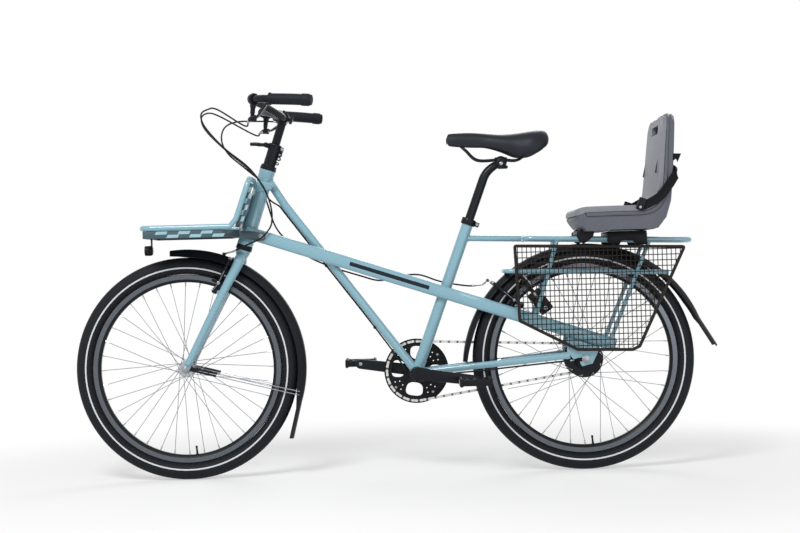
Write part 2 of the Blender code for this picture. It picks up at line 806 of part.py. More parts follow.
piece(
    "fork", "frame_blue", steering,
    rod(on_head(crown_seat - 0.004), on_head(steerer_top - GAP), STEERER_RADIUS, 16),
    joins=[
        turned([(crown_seat, 0), (crown_seat, HEADSET_RADIUS - 0.002), (-0.030, 0.0195), (-0.042, 0.013),
                (-0.042, 0)], on_head(0), head_up),
        *fork_joins,
    ],
    cuts=[
        rod(on_head(0.02), on_head(steerer_top + 0.02), POST_RADIUS + GAP, 16),
        rod(front_axle - axle_hole_reach, front_axle + axle_hole_reach, AXLE_RADIUS + GAP, 16),
    ],
)
front_nut = fork_end_side + FORK_END_THICKNESS / 2 + GAP
locknut = FRONT_HUB_WIDTH / 2
front_axle_outline = [(-front_nut - 0.012, 0), (-front_nut - 0.012, AXLE_RADIUS), (-front_nut - 0.008, AXLE_RADIUS),
                      (-front_nut - 0.008, 0.0085), (-front_nut, 0.0085), (-front_nut, AXLE_RADIUS),
                      (-locknut, AXLE_RADIUS), (-locknut, 0.0085), (-locknut + 0.004, 0.0085),
                      (-locknut + 0.004, AXLE_RADIUS)]
piece(
    "front_axle", "silver", steering,
    turned(front_axle_outline + [(-along, radius) for along, radius in reversed(front_axle_outline)],
           front_axle, ACROSS, 8),
)

sleeve_foot = HEAD_LENGTH + GAP
sleeve_top = steerer_top
piece(
    "stem_sleeve", "black", steering,
    turned([
        (sleeve_foot, STEERER_RADIUS + GAP), (sleeve_foot, HEADSET_RADIUS),
        (sleeve_foot + HEADSET_HEIGHT, HEADSET_RADIUS - 0.002), (sleeve_foot + HEADSET_HEIGHT, SLEEVE_RADIUS),
        (sleeve_top, SLEEVE_RADIUS), (sleeve_top, STEERER_RADIUS + GAP),
    ], on_head(0), head_up, closed=True),
    joins=[
        block(on_head(sleeve_top - 0.014, -SLEEVE_RADIUS - 0.005), (0.014, 0.012, 0.024), head_forward, head_up),
        rod(on_head(sleeve_top - 0.010, -SLEEVE_RADIUS - 0.006, -0.012),
            on_head(sleeve_top - 0.010, -SLEEVE_RADIUS - 0.006, 0.012), 0.0045),
        block(on_head(sleeve_top - 0.030, -SLEEVE_RADIUS - 0.003), (0.010, 0.020, 0.014), head_forward, head_up),
        block(on_head(sleeve_top - 0.010, SLEEVE_RADIUS + 0.0055), (0.015, 0.010, 0.016), head_forward, head_up),
        rod(on_head(sleeve_top - 0.010, SLEEVE_RADIUS + 0.0085, -0.013),
            on_head(sleeve_top - 0.010, SLEEVE_RADIUS + 0.0085, 0.013), 0.0035, 8),
    ],
)
lever_place = on_head(sleeve_top - 0.010, SLEEVE_RADIUS + 0.0085)
stem_lever = pivot("stem_lever_axis", lever_place, steering)
lever_out = (head_forward * 0.9 - head_up * 0.45).normalized()
lever_cheeks = []
for word, hand in SIDES:
    cheek = lever_place + ACROSS * hand * 0.0085
    lever_cheeks.append(rod(cheek - ACROSS * 0.002, cheek + ACROSS * 0.002, 0.0075, 10))
    lever_cheeks.append(block(cheek + lever_out * 0.011, (0.018, 0.004, 0.010), lever_out, lever_out.cross(ACROSS)))
piece(
    "stem_lever", "silver", stem_lever,
    tube([lever_place + lever_out * 0.016, lever_place + lever_out * 0.030, lever_place + lever_out * 0.048],
         [(0.0105, 0.005), (0.009, 0.0045), (0.008, 0.0035)]),
    joins=lever_cheeks,
    cuts=[rod(lever_place - ACROSS * 0.02, lever_place + ACROSS * 0.02, 0.0035 + GAP, 10)],
)

clamp_along = steerer_top + STEM_RISE
clamp = on_head(clamp_along)

# Handlebar, which rises, sweeps forward and comes back to the grips

bar_half = curve([
    clamp,
    clamp + Vector((0, 0.030, 0)),
    clamp + Vector((-0.020, 0.070, 0.012)),
    clamp + Vector((-0.055, 0.130, 0.030)),
    clamp + Vector((-BAR_REACH, 0.175, BAR_RISE)),
    clamp + Vector((-BAR_REACH + 0.003, 0.215, BAR_RISE)),
    clamp + Vector((-0.045, BAR_HALF_WIDTH - 0.044, BAR_RISE - 0.002)),
    clamp + Vector((-0.010, BAR_HALF_WIDTH - 0.029, BAR_RISE - 0.005)),
    clamp + Vector((0.045, BAR_HALF_WIDTH - 0.014, BAR_RISE - 0.009)),
    clamp + Vector((0.097, BAR_HALF_WIDTH, BAR_RISE - 0.014)),
], 2)


def mirrored(points, hand):
    """Points of the right side moved to the side that hand names."""
    return [Vector((point.x, point.y * hand, point.z)) for point in points]


bar_path = list(reversed(mirrored(bar_half, -1))) + bar_half[1:]
piece("handlebar", "black", bars, tube(bar_path, BAR_RADIUS, 8))
half_length = path_length(bar_half)
bar_end = (bar_half[-1] - bar_half[-2]).normalized()
grip_line = trimmed(bar_half, half_length - GRIP_LENGTH, half_length, 4)
grip_line.append(bar_half[-1] + bar_end * 0.004)
grip_sizes = [GRIP_RADIUS + 0.002, GRIP_RADIUS - 0.001, GRIP_RADIUS, GRIP_RADIUS, GRIP_RADIUS + 0.002, GRIP_RADIUS]


def bar_cutter():
    """Space that the handlebar takes."""
    longer = [bar_path[0] - (bar_path[1] - bar_path[0]).normalized() * GAP, *bar_path[1:-1],
              bar_path[-1] + (bar_path[-1] - bar_path[-2]).normalized() * GAP]
    return tube(longer, BAR_RADIUS + GAP, 8)


piece(
    "stem_post", "silver", bars,
    rod(on_head(clamp_along - STEM_POST_LENGTH), on_head(clamp_along - 0.004), POST_RADIUS, 12),
    joins=[
        rod(clamp - ACROSS * 0.022, clamp + ACROSS * 0.022, BAR_RADIUS + 0.006, 12),
        block(clamp - head_forward * 0.020, (0.018, 0.026, 0.012), head_forward, head_up),
        rod(clamp - head_forward * 0.024 + head_up * 0.004, clamp - head_forward * 0.024 + head_up * 0.013, 0.005),
    ],
    cuts=[bar_cutter()],
)
for word, hand in SIDES:
    piece(f"grip_{word}", "rubber", bars, tube(mirrored(grip_line, hand), grip_sizes), cuts=[bar_cutter()])

# Brake lever mounts and blades, the shifter and the bell

mount_at = half_length - GRIP_LENGTH - 0.062
mount_place, mount_ahead = trimmed(bar_half, mount_at, mount_at + 0.006, 1)
mount_run = (mount_ahead - mount_place).normalized()
blade_root = clamp + Vector((-0.066, 0.216, -0.020))
blade_tip = clamp + Vector((-0.020, 0.303, 0.018))
blade_run = (blade_tip - blade_root).normalized()
blade_pull = Vector((0, -0.5, 0.87))
blade_pull = (blade_pull - blade_run * blade_pull.dot(blade_run)).normalized()
blade_axis = blade_run.cross(blade_pull)


def mirror_vector(vector, hand):
    """Direction of the right side moved to the side that hand names."""
    return Vector((vector.x, vector.y * hand, vector.z))


shifter_at = half_length - GRIP_LENGTH - 0.018
shifter_place, shifter_ahead = trimmed(bar_half, shifter_at, shifter_at + 0.006, 1)
shifter_run = (shifter_ahead - shifter_place).normalized()
shifter_drop = Vector((0.35, -0.60, -0.70)).normalized()
shifter_drop = (shifter_drop - shifter_run * shifter_drop.dot(shifter_run)).normalized()
shift_place = shifter_place + shifter_drop * 0.030
shift_lever_out = shifter_run * 0.25 + shifter_run.cross(shifter_drop) * -0.97
for word, hand in SIDES:
    root = mirrored([blade_root], hand)[0]
    ring_place = mirrored([mount_place], hand)[0]
    run = mirror_vector(mount_run, hand)
    axis = mirror_vector(blade_axis, hand)
    out = mirror_vector(blade_run, hand)
    pull = mirror_vector(blade_pull, hand)
    arm_foot = root - axis * 0.0088
    arm_run = (arm_foot - ring_place).normalized()
    mount_joins = [
        tube([ring_place + arm_run * 0.012, arm_foot], [0.0085, 0.0045]),
        rod(root - axis * 0.012, root - axis * 0.0040, 0.0085, 10),
        rod(root - axis * 0.008, root + axis * 0.0045, 0.0028, 8),
        rod(arm_foot, arm_foot - out * 0.030 + pull * 0.004, 0.0045, 8),
    ]
    if hand > 0:
        mount_joins += [
            rod(shifter_place - shifter_run * 0.011, shifter_place + shifter_run * 0.011, 0.0175, 12),
            rod(shifter_place + shifter_drop * 0.008, shift_place - shifter_drop * 0.006, 0.013, 10),
            rod(shift_place - shifter_drop * 0.010, shift_place + shifter_drop * 0.004, 0.003),
            rod(shifter_place, mount_place, 0.0135),
        ]
    piece(
        f"lever_mount_{word}", "black", bars,
        rod(ring_place - run * 0.008, ring_place + run * 0.008, 0.0165, 12),
        joins=mount_joins,
        cuts=[bar_cutter()],
    )
    lever_axis = pivot(f"brake_lever_{word}_axis", root, bars)
    blade_line = [root + out * 0.005, root + out * 0.030 - pull * 0.004, root + out * 0.065 - pull * 0.003,
                  root + out * 0.098 + pull * 0.001]
    piece(
        f"brake_lever_{word}", "black", lever_axis,
        tube(blade_line, [(0.0035, 0.0032), (0.0055, LEVER_RADIUS), (0.006, LEVER_RADIUS), (0.005, 0.004)], 10),
        joins=[rod(root - axis * 0.0035, root + axis * 0.0035, 0.0075, 12)],
        cuts=[rod(root - axis * 0.02, root + axis * 0.02, 0.0028 + GAP, 10)],
    )
shift_axis = pivot("shift_lever_axis", shift_place, bars)
thumb_foot = shift_place - shifter_drop * 0.001
piece(
    "shift_lever", "black", shift_axis,
    rod(shift_place - shifter_drop * 0.0055, shift_place + shifter_drop * 0.003, 0.010, 12),
    joins=[tube([thumb_foot, thumb_foot + shift_lever_out * 0.026], [(0.005, 0.003), (0.006, 0.003)])],
    cuts=[rod(shift_place - shifter_drop * 0.02, shift_place + shifter_drop * 0.02, 0.003 + GAP, 10)],
)
gear_stop = shift_place + shifter_drop * 0.004 - shifter_run * 0.0135
gear_run = -shifter_run
bell_at = half_length - GRIP_LENGTH - 0.098
bell_place, bell_ahead = trimmed(bar_half, bell_at, bell_at + 0.006, 1)
bell_run = (bell_ahead - bell_place).normalized()
bell_up = Vector((0.1, 0, 1))
bell_up = (bell_up - bell_run * bell_up.dot(bell_run)).normalized()
piece(
    "bell", "black", bars,
    rod(bell_place - bell_run * 0.006, bell_place + bell_run * 0.006, 0.0145, 12),
    joins=[
        turned([(0.010, 0), (0.010, 0.005), (0.017, 0.006), (0.017, 0.0165), (0.021, 0.0165), (0.028, 0.013),
                (0.032, 0.007), (0.033, 0)], bell_place, bell_up, 10),
    ],
    cuts=[bar_cutter()],
)

# Front brake arms on the fork's studs


def brake_arm(name, carrier, base, up, out, hand):
    """One brake arm with its pad: base is its stud's place, up the arm's run, out the stud's axis."""
    rim_face = RIM_WIDTH / 2 + PAD_GAP
    pad_height = 0.025
    pad_centre = base + up * pad_height
    pad_side = hand * (rim_face + 0.005)
    pad_middle = Vector((pad_centre.x, pad_side, pad_centre.z))
    top = base + up * BRAKE_ARM_LENGTH + ACROSS * hand * 0.004
    arm_line = [base, base + up * 0.045 + ACROSS * hand * 0.001, top]
    tread = Vector((-up.z, 0, up.x))
    return piece(
        name, "black", carrier,
        rod(base - out * 0.0070, base + out * 0.0070, 0.0090, 12),
        joins=[
            tube(arm_line, [(0.0065, 0.0060), (0.0055, 0.0055), (0.0045, 0.0045)]),
            rod(base + up * pad_height, pad_middle, 0.0045, 6),
            block(pad_middle, (PAD_LENGTH, 0.010, 0.011), tread, up),
        ],
        cuts=[rod(base - out * 0.05, base + out * 0.05, BRAKE_STUD_RADIUS + GAP, 12)],
    )


for word, hand in SIDES:
    base = front_axle + blade_up * BRAKE_HEIGHT + blade_front * 0.024 + ACROSS * hand * BRAKE_ARM_SIDE
    arm_axis = pivot(f"front_brake_{word}_axis", base, steering)
    brake_arm(f"front_brake_{word}", arm_axis, base, blade_up, blade_front, hand)

# Rear brake arms on studs that stand on the side tubes

for word, hand in SIDES:
    base = rear_arm_base + ACROSS * hand * rear_arm_side
    arm_axis = pivot(f"rear_brake_{word}_axis", base, bike)
    brake_arm(f"rear_brake_{word}", arm_axis, base, rear_arm_up, rear_arm_out, hand)

# Wheels


def tyre(name, carrier, axle):
    """Tyre whose flat inner side seats on the rim."""
    middle = TYRE_RADIUS - TYRE_WIDTH / 2
    seat = RIM_RADIUS + GAP
    outline = []
    for step in range(-2, 3):
        turn = math.radians(step * 68)
        outline.append((TYRE_WIDTH / 2 * math.sin(turn), middle + TYRE_WIDTH / 2 * math.cos(turn)))
    outline += [(RIM_WIDTH / 2 - 0.001, seat), (-RIM_WIDTH / 2 + 0.001, seat)]
    return piece(name, "rubber", carrier, turned(outline, axle, ACROSS, WHEEL_SIDES, closed=True))


def rim(name, carrier, axle):
    """Rim with its valve at the foot."""
    half = RIM_WIDTH / 2
    inner = RIM_RADIUS - RIM_DEPTH
    outline = [(-half, RIM_RADIUS), (half, RIM_RADIUS), (half, RIM_RADIUS - 0.017), (half * 0.45, inner),
               (-half * 0.45, inner), (-half, RIM_RADIUS - 0.017)]
    valve_turn = math.radians(-85)
    valve_run = Vector((math.cos(valve_turn), 0, math.sin(valve_turn)))
    valve_top = axle + valve_run * (inner - 0.024)
    valve_foot = axle + valve_run * (inner + 0.006)
    return piece(name, "silver", carrier, turned(outline, axle, ACROSS, WHEEL_SIDES, closed=True),
                 joins=[rod(valve_top, valve_foot, 0.0035, 8)])


def spokes(axle, hole_radius):
    """Crossed spokes as separate rods, which start in the flanges and end just inside the rim."""
    bm = bmesh.new()
    end_radius = (RIM_RADIUS - RIM_DEPTH) * math.cos(math.pi / WHEEL_SIDES) - GAP * 4
    for number in range(SPOKE_COUNT):
        hand = 1 if number % 2 else -1
        lead = 1 if number % 4 < 2 else -1
        rim_turn = math.tau * number / SPOKE_COUNT
        hub_turn = rim_turn + lead * math.radians(60)
        start = axle + Vector((math.cos(hub_turn) * hole_radius, hand * (FLANGE_SIDE + lead * 0.002),
                               math.sin(hub_turn) * hole_radius))
        end = axle + Vector((math.cos(rim_turn) * end_radius, hand * (0.0030 + lead * 0.0012),
                             math.sin(rim_turn) * end_radius))
        shape = tube([start, end], SPOKE_RADIUS, 3)
        bm.from_mesh(shape)
    return to_mesh(bm)


def hub(name, finish, carrier, axle, outline, hole_radius):
    """Hub with its spokes."""
    return piece(name, finish, carrier, turned(outline, axle, ACROSS, 10, closed=True),
                 joins=[spokes(axle, hole_radius)])


bore = AXLE_RADIUS + RUNNING_GAP
flange_in = FLANGE_SIDE - FLANGE_THICKNESS / 2
flange_out = FLANGE_SIDE + FLANGE_THICKNESS / 2
front_hub_end = FRONT_HUB_WIDTH / 2 - 0.004 - GAP
front_wheel = pivot("front_wheel_axis", front_axle, steering)
tyre("front_tyre", front_wheel, front_axle)
rim("front_rim", front_wheel, front_axle)
hub("front_hub", "silver", front_wheel, front_axle, [
    (-front_hub_end, bore), (-front_hub_end, 0.010), (-flange_out, 0.013), (-flange_out, FRONT_FLANGE_RADIUS),
    (-flange_in, FRONT_FLANGE_RADIUS), (-flange_in, 0.014), (flange_in, 0.014), (flange_in, FRONT_FLANGE_RADIUS),
    (flange_out, FRONT_FLANGE_RADIUS), (flange_out, 0.013), (front_hub_end, 0.010), (front_hub_end, bore),
], FRONT_FLANGE_RADIUS - 0.004)
rear_wheel = pivot("rear_wheel_axis", rear_axle, bike)
tyre("rear_tyre", rear_wheel, rear_axle)
rim("rear_rim", rear_wheel, rear_axle)
rear_hub_left = REAR_HUB_WIDTH / 2 - 0.009
rear_hub_right = CHAINLINE - CHAIN_WIDTH / 2 - 0.005
drum = REAR_FLANGE_RADIUS - 0.010
hub("rear_hub", "black", rear_wheel, rear_axle, [
    (-rear_hub_left, bore), (-rear_hub_left, 0.012), (-flange_out, 0.020), (-flange_out, REAR_FLANGE_RADIUS),
    (-flange_in, REAR_FLANGE_RADIUS), (-flange_in, drum), (flange_in, drum), (flange_in, REAR_FLANGE_RADIUS),
    (flange_out, REAR_FLANGE_RADIUS), (flange_out, 0.022), (rear_hub_right, 0.020), (rear_hub_right, bore),
], REAR_FLANGE_RADIUS - 0.006)

rear_nut = dropout_inner + DROPOUT_THICKNESS + GAP
rear_lock = REAR_HUB_WIDTH / 2
sprocket_end = 0.0582
piece(
    "rear_axle", "silver", bike,
    turned([
        (-rear_nut - 0.013, 0), (-rear_nut - 0.013, AXLE_RADIUS), (-rear_nut - 0.009, AXLE_RADIUS),
        (-rear_nut - 0.009, 0.010), (-rear_nut, 0.010), (-rear_nut, AXLE_RADIUS), (-rear_lock, AXLE_RADIUS),
        (-rear_lock, 0.009), (-rear_hub_left - GAP, 0.009), (-rear_hub_left - GAP, AXLE_RADIUS),
        (sprocket_end + GAP, AXLE_RADIUS), (sprocket_end + GAP, 0.009), (rear_lock, 0.009), (rear_lock, AXLE_RADIUS),
        (rear_nut, AXLE_RADIUS), (rear_nut, 0.010), (rear_nut + 0.009, 0.010), (rear_nut + 0.009, AXLE_RADIUS),
        (rear_nut + 0.013, AXLE_RADIUS), (rear_nut + 0.013, 0),
    ], rear_axle, ACROSS, 8),
)

# Cranks, chain and sprocket

half_ring = RING_THICKNESS / 2
tooth = 0.001
sprocket = pivot("sprocket_axis", rear_axle, bike)
piece(
    "rear_sprocket", "silver", sprocket,
    turned([
        (rear_hub_right + GAP, bore), (rear_hub_right + GAP, 0.020), (CHAINLINE - half_ring, 0.020),
        (CHAINLINE - half_ring, SPROCKET_RADIUS + tooth), (CHAINLINE + half_ring, SPROCKET_RADIUS + tooth),
        (CHAINLINE + half_ring, 0.018), (sprocket_end, 0.018), (sprocket_end, bore),
    ], rear_axle, ACROSS, 18, closed=True),
)

centres = rear_axle - bracket
chain_tilt = math.degrees(math.atan2(centres.z, centres.x))
wrap = math.degrees(math.acos((RING_RADIUS - SPROCKET_RADIUS) / centres.length))
chain_rings = []
half_height = CHAIN_HEIGHT / 2
half_chain = CHAIN_WIDTH / 2
channel = RING_THICKNESS / 2 + 0.0008
section = [
    (half_height, -half_chain), (half_height, half_chain), (-half_height, half_chain), (-half_height, channel),
    (tooth + 0.0009, channel), (tooth + 0.0009, -channel), (-half_height, -channel), (-half_height, -half_chain),
]
for centre, radius, first, last, steps in (
    (bracket, RING_RADIUS, chain_tilt + wrap, chain_tilt + 360 - wrap, 16),
    (rear_axle, SPROCKET_RADIUS, chain_tilt - wrap, chain_tilt + wrap, 9),
):
    for step in range(steps + 1):
        turn = math.radians(first + (last - first) * step / steps)
        outward = Vector((math.cos(turn), 0, math.sin(turn)))
        pin = centre + outward * radius + ACROSS * CHAINLINE
        chain_rings.append([pin + outward * high + ACROSS * side for high, side in section])
piece("chain", "silver", bike, loft(chain_rings, closed=True))

crank = pivot("crank_axis", bracket, bike)
disc_in = CHAINLINE + half_chain + 0.0006
windows = []
for angle in (0, 90, 180, 270):
    turn = math.radians(angle - CRANK_TILT)
    outward = Vector((math.cos(turn), 0, math.sin(turn)))
    sideways = Vector((-outward.z, 0, outward.x))
    middle = bracket + outward * 0.0535 + ACROSS * (CHAINLINE - 0.010)
    shape = [
        middle + outward * 0.020 * math.cos(round_turn) * (1 + 0.12 * math.cos(round_turn))
        + sideways * 0.026 * math.sin(round_turn)
        for round_turn in (math.tau * step / 8 for step in range(8))
    ]
    windows.append(slab(shape, ACROSS * 0.030))


def crank_arm(hand, out):
    """Arm, pedal eye and pedal pin of one crank."""
    eye = bracket + out * CRANK_LENGTH
    inner = ACROSS * hand * (CRANK_SIDE - 0.017)
    outer = ACROSS * hand * (CRANK_SIDE - 0.007)
    return [
        tube([bracket + inner, bracket + inner.lerp(outer, 0.2) + out * 0.030, eye + outer],
             [(0.008, 0.017), (0.0075, 0.0165), (0.0065, 0.0145)], 8),
        rod(eye + ACROSS * hand * (CRANK_SIDE - 0.014), eye + ACROSS * hand * CRANK_SIDE, 0.0155, 12),
        rod(eye + ACROSS * hand * (CRANK_SIDE - 0.004), eye + ACROSS * hand * (PEDAL_SIDE + PEDAL_WIDTH / 2 - 0.012),
            PEDAL_PIN_RADIUS, 10),
    ]


tilt = math.radians(CRANK_TILT)
out_right = Vector((-math.cos(tilt), 0, math.sin(tilt)))
out_left = -out_right
disc_out = disc_in + 0.003
left_end = CRANK_SIDE - 0.002
ring_in = CHAINLINE - half_ring
ring_out = CHAINLINE + half_ring
carrier_radius = RING_RADIUS - 0.019
piece(
    "crank_right", "black", crank,
    turned([
        (-left_end, 0), (-left_end, SPINDLE_END_RADIUS), (-0.058, SPINDLE_END_RADIUS), (-0.054, SPINDLE_RADIUS),
        (ring_in - 0.006, SPINDLE_RADIUS), (ring_in - 0.006, 0.022), (ring_in, 0.028),
        (ring_in, RING_RADIUS + tooth), (ring_out, RING_RADIUS + tooth), (ring_out, carrier_radius),
        (disc_in, carrier_radius), (disc_in, GUARD_DISC_RADIUS), (disc_out, GUARD_DISC_RADIUS), (disc_out, 0.024),
        (CRANK_SIDE - 0.007, 0.022), (CRANK_SIDE - 0.007, 0),
    ], bracket, ACROSS, 20),
    joins=crank_arm(1, out_right),
    cuts=windows,
)
left_parts = crank_arm(-1, out_left)
piece(
    "crank_left", "black", crank,
    rod(bracket - ACROSS * (CRANK_SIDE - 0.025), bracket - ACROSS * CRANK_SIDE, 0.022, 14),
    joins=left_parts,
    cuts=[rod(bracket - ACROSS * 0.04, bracket - ACROSS * (CRANK_SIDE + 0.02), SPINDLE_END_RADIUS + GAP, 16)],
)
for (word, hand), out in zip(SIDES, (out_left, out_right)):
    eye = bracket + out * CRANK_LENGTH
    pedal_axis = pivot(f"pedal_{word}_axis", eye + ACROSS * hand * PEDAL_SIDE, crank)
    inner = hand * (PEDAL_SIDE - PEDAL_WIDTH / 2)
    outer = hand * (PEDAL_SIDE + PEDAL_WIDTH / 2)
    half = PEDAL_LENGTH / 2
    thick = PEDAL_HEIGHT / 2
    outline = [
        (eye.x - half, eye.z - thick * 0.6), (eye.x - half + 0.006, eye.z - thick),
        (eye.x + half - 0.006, eye.z - thick), (eye.x + half, eye.z - thick * 0.6),
        (eye.x + half, eye.z + thick * 0.6), (eye.x + half - 0.006, eye.z + thick),
        (eye.x - half + 0.006, eye.z + thick), (eye.x - half, eye.z + thick * 0.6),
    ]
    piece(
        f"pedal_{word}", "black", pedal_axis,
        upright_slab(outline, inner, outer),
        joins=[rod(eye + ACROSS * hand * (CRANK_SIDE + GAP), eye + ACROSS * (inner + hand * 0.004), 0.0105, 10)],
        cuts=[
            rod(eye + ACROSS * hand * (CRANK_SIDE - 0.01), eye + ACROSS * (outer - hand * 0.008),
                PEDAL_PIN_RADIUS + RUNNING_GAP, 16),
        ],
    )

# Mudguards


def guard_line(centre, radius, first, last, steps, tip):
    """Places on a mudguard's outer face with their outward directions, ending in a straight flap."""
    line = []
    for step in range(steps + 1):
        angle = first + (last - first) * step / steps
        x, z = circle_point(centre, radius, angle)
        turn = math.radians(angle)
        line.append((Vector((x, 0, z)), Vector((math.cos(turn), 0, math.sin(turn)))))
    end = line[-1][0]
    tip = Vector((tip[0], 0, tip[1]))
    run = (tip - end).normalized()
    outward = Vector((-run.z, 0, run.x))
    if outward.dot(line[-1][1]) < 0:
        outward = -outward
    line.append((end.lerp(tip, 0.25), outward))
    line.append((tip, outward))
    return line


def guard_rings(line):
    """Rings of a thin arched strip along a mudguard's line."""
    section = ((-1, MUDGUARD_DROP), (-0.5, 0), (0.5, 0), (1, MUDGUARD_DROP))
    rings = []
    for place, outward in line:
        outer = [place + ACROSS * MUDGUARD_HALF_WIDTH * a - outward * drop for a, drop in section]
        rings.append(outer + [point - outward * MUDGUARD_WALL for point in reversed(outer)])
    return rings


front_line = guard_line((0, TYRE_RADIUS), FRONT_GUARD_RADIUS, 96.9, -16.8, 12, (0.3106, 0.114))
stay_angle = -14.5
front_guard_stays = []
for word, hand in SIDES:
    for rise in (0.0, 0.012):
        x, z = circle_point((0, TYRE_RADIUS), FRONT_GUARD_RADIUS - MUDGUARD_DROP, stay_angle + rise * 150)
        foot = front_axle + Vector((0.0132 + rise * 0.28, hand * fork_end_side, -0.002 + rise * 0.5))
        front_guard_stays.append(rod(foot, (x, hand * (MUDGUARD_HALF_WIDTH - 0.0015), z), 0.0022, 6))
crown_under = -0.042
guard_top = on_head(crown_under - GAP - 0.0012)
to_guard = (guard_top - front_axle).normalized()
piece(
    "front_mudguard", "black", steering,
    loft(guard_rings(front_line)),
    joins=[
        rod(front_axle + to_guard * (FRONT_GUARD_RADIUS - 0.0012), guard_top, 0.006),
        *front_guard_stays,
    ],
)

rear_line = guard_line(REAR_GUARD_CENTRE, REAR_GUARD_RADIUS, 176.0, 22.3, 17, FLAP_TIP)
rail_place = Vector((rail_front, 0, lower_rail_z(rail_front)))
guard_middle = Vector((REAR_GUARD_CENTRE[0], 0, REAR_GUARD_CENTRE[1]))
to_rail = (rail_place - guard_middle).normalized()
tail_x = rail_rear - 0.006
tail_rise = math.sqrt((REAR_GUARD_RADIUS - 0.002) ** 2 - (tail_x - REAR_GUARD_CENTRE[0]) ** 2)
tail_z = REAR_GUARD_CENTRE[1] + tail_rise
tail_reach = ACROSS * (LOWER_RAIL_SIDE - LOWER_RAIL_RADIUS - GAP)
tail_place = Vector((tail_x, 0, tail_z))

# Frame lock: a case on the left beside the rack's stay, and an arch over the tyre with a turning bar

lock_angle = 126.3
lock_out = Vector((math.cos(math.radians(lock_angle)), 0, math.sin(math.radians(lock_angle))))
lock_along = Vector((lock_out.z, 0, -lock_out.x))
arch_half = 0.003
arch_top = TYRE_RADIUS + 0.0015 + arch_half
lock_centre = rear_axle + lock_out * (arch_top - LOCK_RADIUS)


def on_lock(turn, radius, offset=0.0):
    """Place in the lock's plane, at a turn from the bike's right side."""
    turn = math.radians(turn)
    return lock_centre + ACROSS * radius * math.cos(turn) + lock_out * radius * math.sin(turn) + lock_along * offset


def lock_arch(inner, outer, depth):
    """Flat arch over the tyre."""
    rings = []
    for step in range(17):
        turn = -35 + 240 * step / 16
        rings.append([on_lock(turn, inner, -depth), on_lock(turn, outer, -depth), on_lock(turn, outer, depth),
                      on_lock(turn, inner, depth)])
    return loft(rings)


case_side = 0.045
case_centre = rear_axle + lock_out * 0.218 - ACROSS * case_side
leg_centre = rear_axle + lock_out * 0.270 - ACROSS * case_side
piece(
    "frame_lock", "black", bike,
    block(case_centre, (0.022, 0.0136, 0.078), lock_along, lock_out),
    joins=[
        block(leg_centre, (0.010, 0.0062, 0.050), lock_along, lock_out),
        lock_arch(LOCK_RADIUS - arch_half, LOCK_RADIUS + arch_half, 0.005),
        rod(rear_axle + lock_out * 0.190 - ACROSS * (case_side + 0.004),
            rear_axle + lock_out * 0.190 - ACROSS * (case_side + 0.013), 0.006, 12),
    ],
)
lock_pivot = pivot("lock_bar_axis", lock_centre, bike)
bar_offset = 0.005 + GAP + LOCK_BAR_RADIUS
piece(
    "lock_bar", "silver", lock_pivot,
    tube([on_lock(turn, LOCK_RADIUS, bar_offset) for turn in range(124, 213, 8)], LOCK_BAR_RADIUS, 8),
)
piece(
    "rear_mudguard", "black", bike,
    loft(guard_rings(rear_line)),
    joins=[
        rod(guard_middle + to_rail * (REAR_GUARD_RADIUS - 0.0012), rail_place - to_rail * (LOWER_RAIL_RADIUS + GAP),
            0.005),
        rod(tail_place - tail_reach, tail_place + tail_reach, 0.0030, 8),
    ],
    cuts=[lock_arch(LOCK_RADIUS - arch_half - 0.001, LOCK_RADIUS + arch_half + 0.001, 0.014)],
)

# Wire guard beside the rear wheel, on the left only


def top_bar_z(x):
    """Height of the guard's top bar."""
    return 0.667 - 0.029 * (x - 0.975)


guard_corners = [
    (0.976, top_bar_z(0.976)), (1.4712, top_bar_z(1.4712)), (1.3336, 0.3654), (1.3129, 0.3557), (1.1524, 0.3600),
    (0.9854, 0.4477),
]
guard_path = rounded([(x, -GUARD_SIDE, z) for x, z in guard_corners], 0.010, 2, closed=True)


def guard_tab(x, z, seat):
    """Short rod from the guard's tube to the piece that holds it."""
    return rod((x, -GUARD_SIDE, z), (x, -seat - GAP, z), 0.003, 6)


stay_share = (rack_z(1.372) - top_bar_z(1.3625)) / (rack_z(1.372) - twin_z(1.2535))
front_share = (rack_z(1.102) - top_bar_z(1.0955)) / (rack_z(1.102) - twin_z(1.036))
rear_tab_x = 1.372 + (1.2535 - 1.372) * stay_share
front_tab_x = 1.102 + (1.036 - 1.102) * front_share
stay_seat = RACK_SIDE + RACK_STAY_RADIUS + GAP
plate_seat = dropout_inner + DROPOUT_THICKNESS
front_rail_z = lower_rail_z(0.9795)
piece(
    "guard_frame", "dark_wire", bike,
    tube(guard_path, GUARD_TUBE_RADIUS, 6, closed=True),
    joins=[
        guard_tab(0.9805, front_rail_z, LOWER_RAIL_SIDE + LOWER_RAIL_RADIUS),
        guard_tab(rear_tab_x, top_bar_z(rear_tab_x), stay_seat),
        guard_tab(front_tab_x, top_bar_z(front_tab_x), stay_seat),
        guard_tab(1.156, 0.3592, plate_seat),
    ],
)


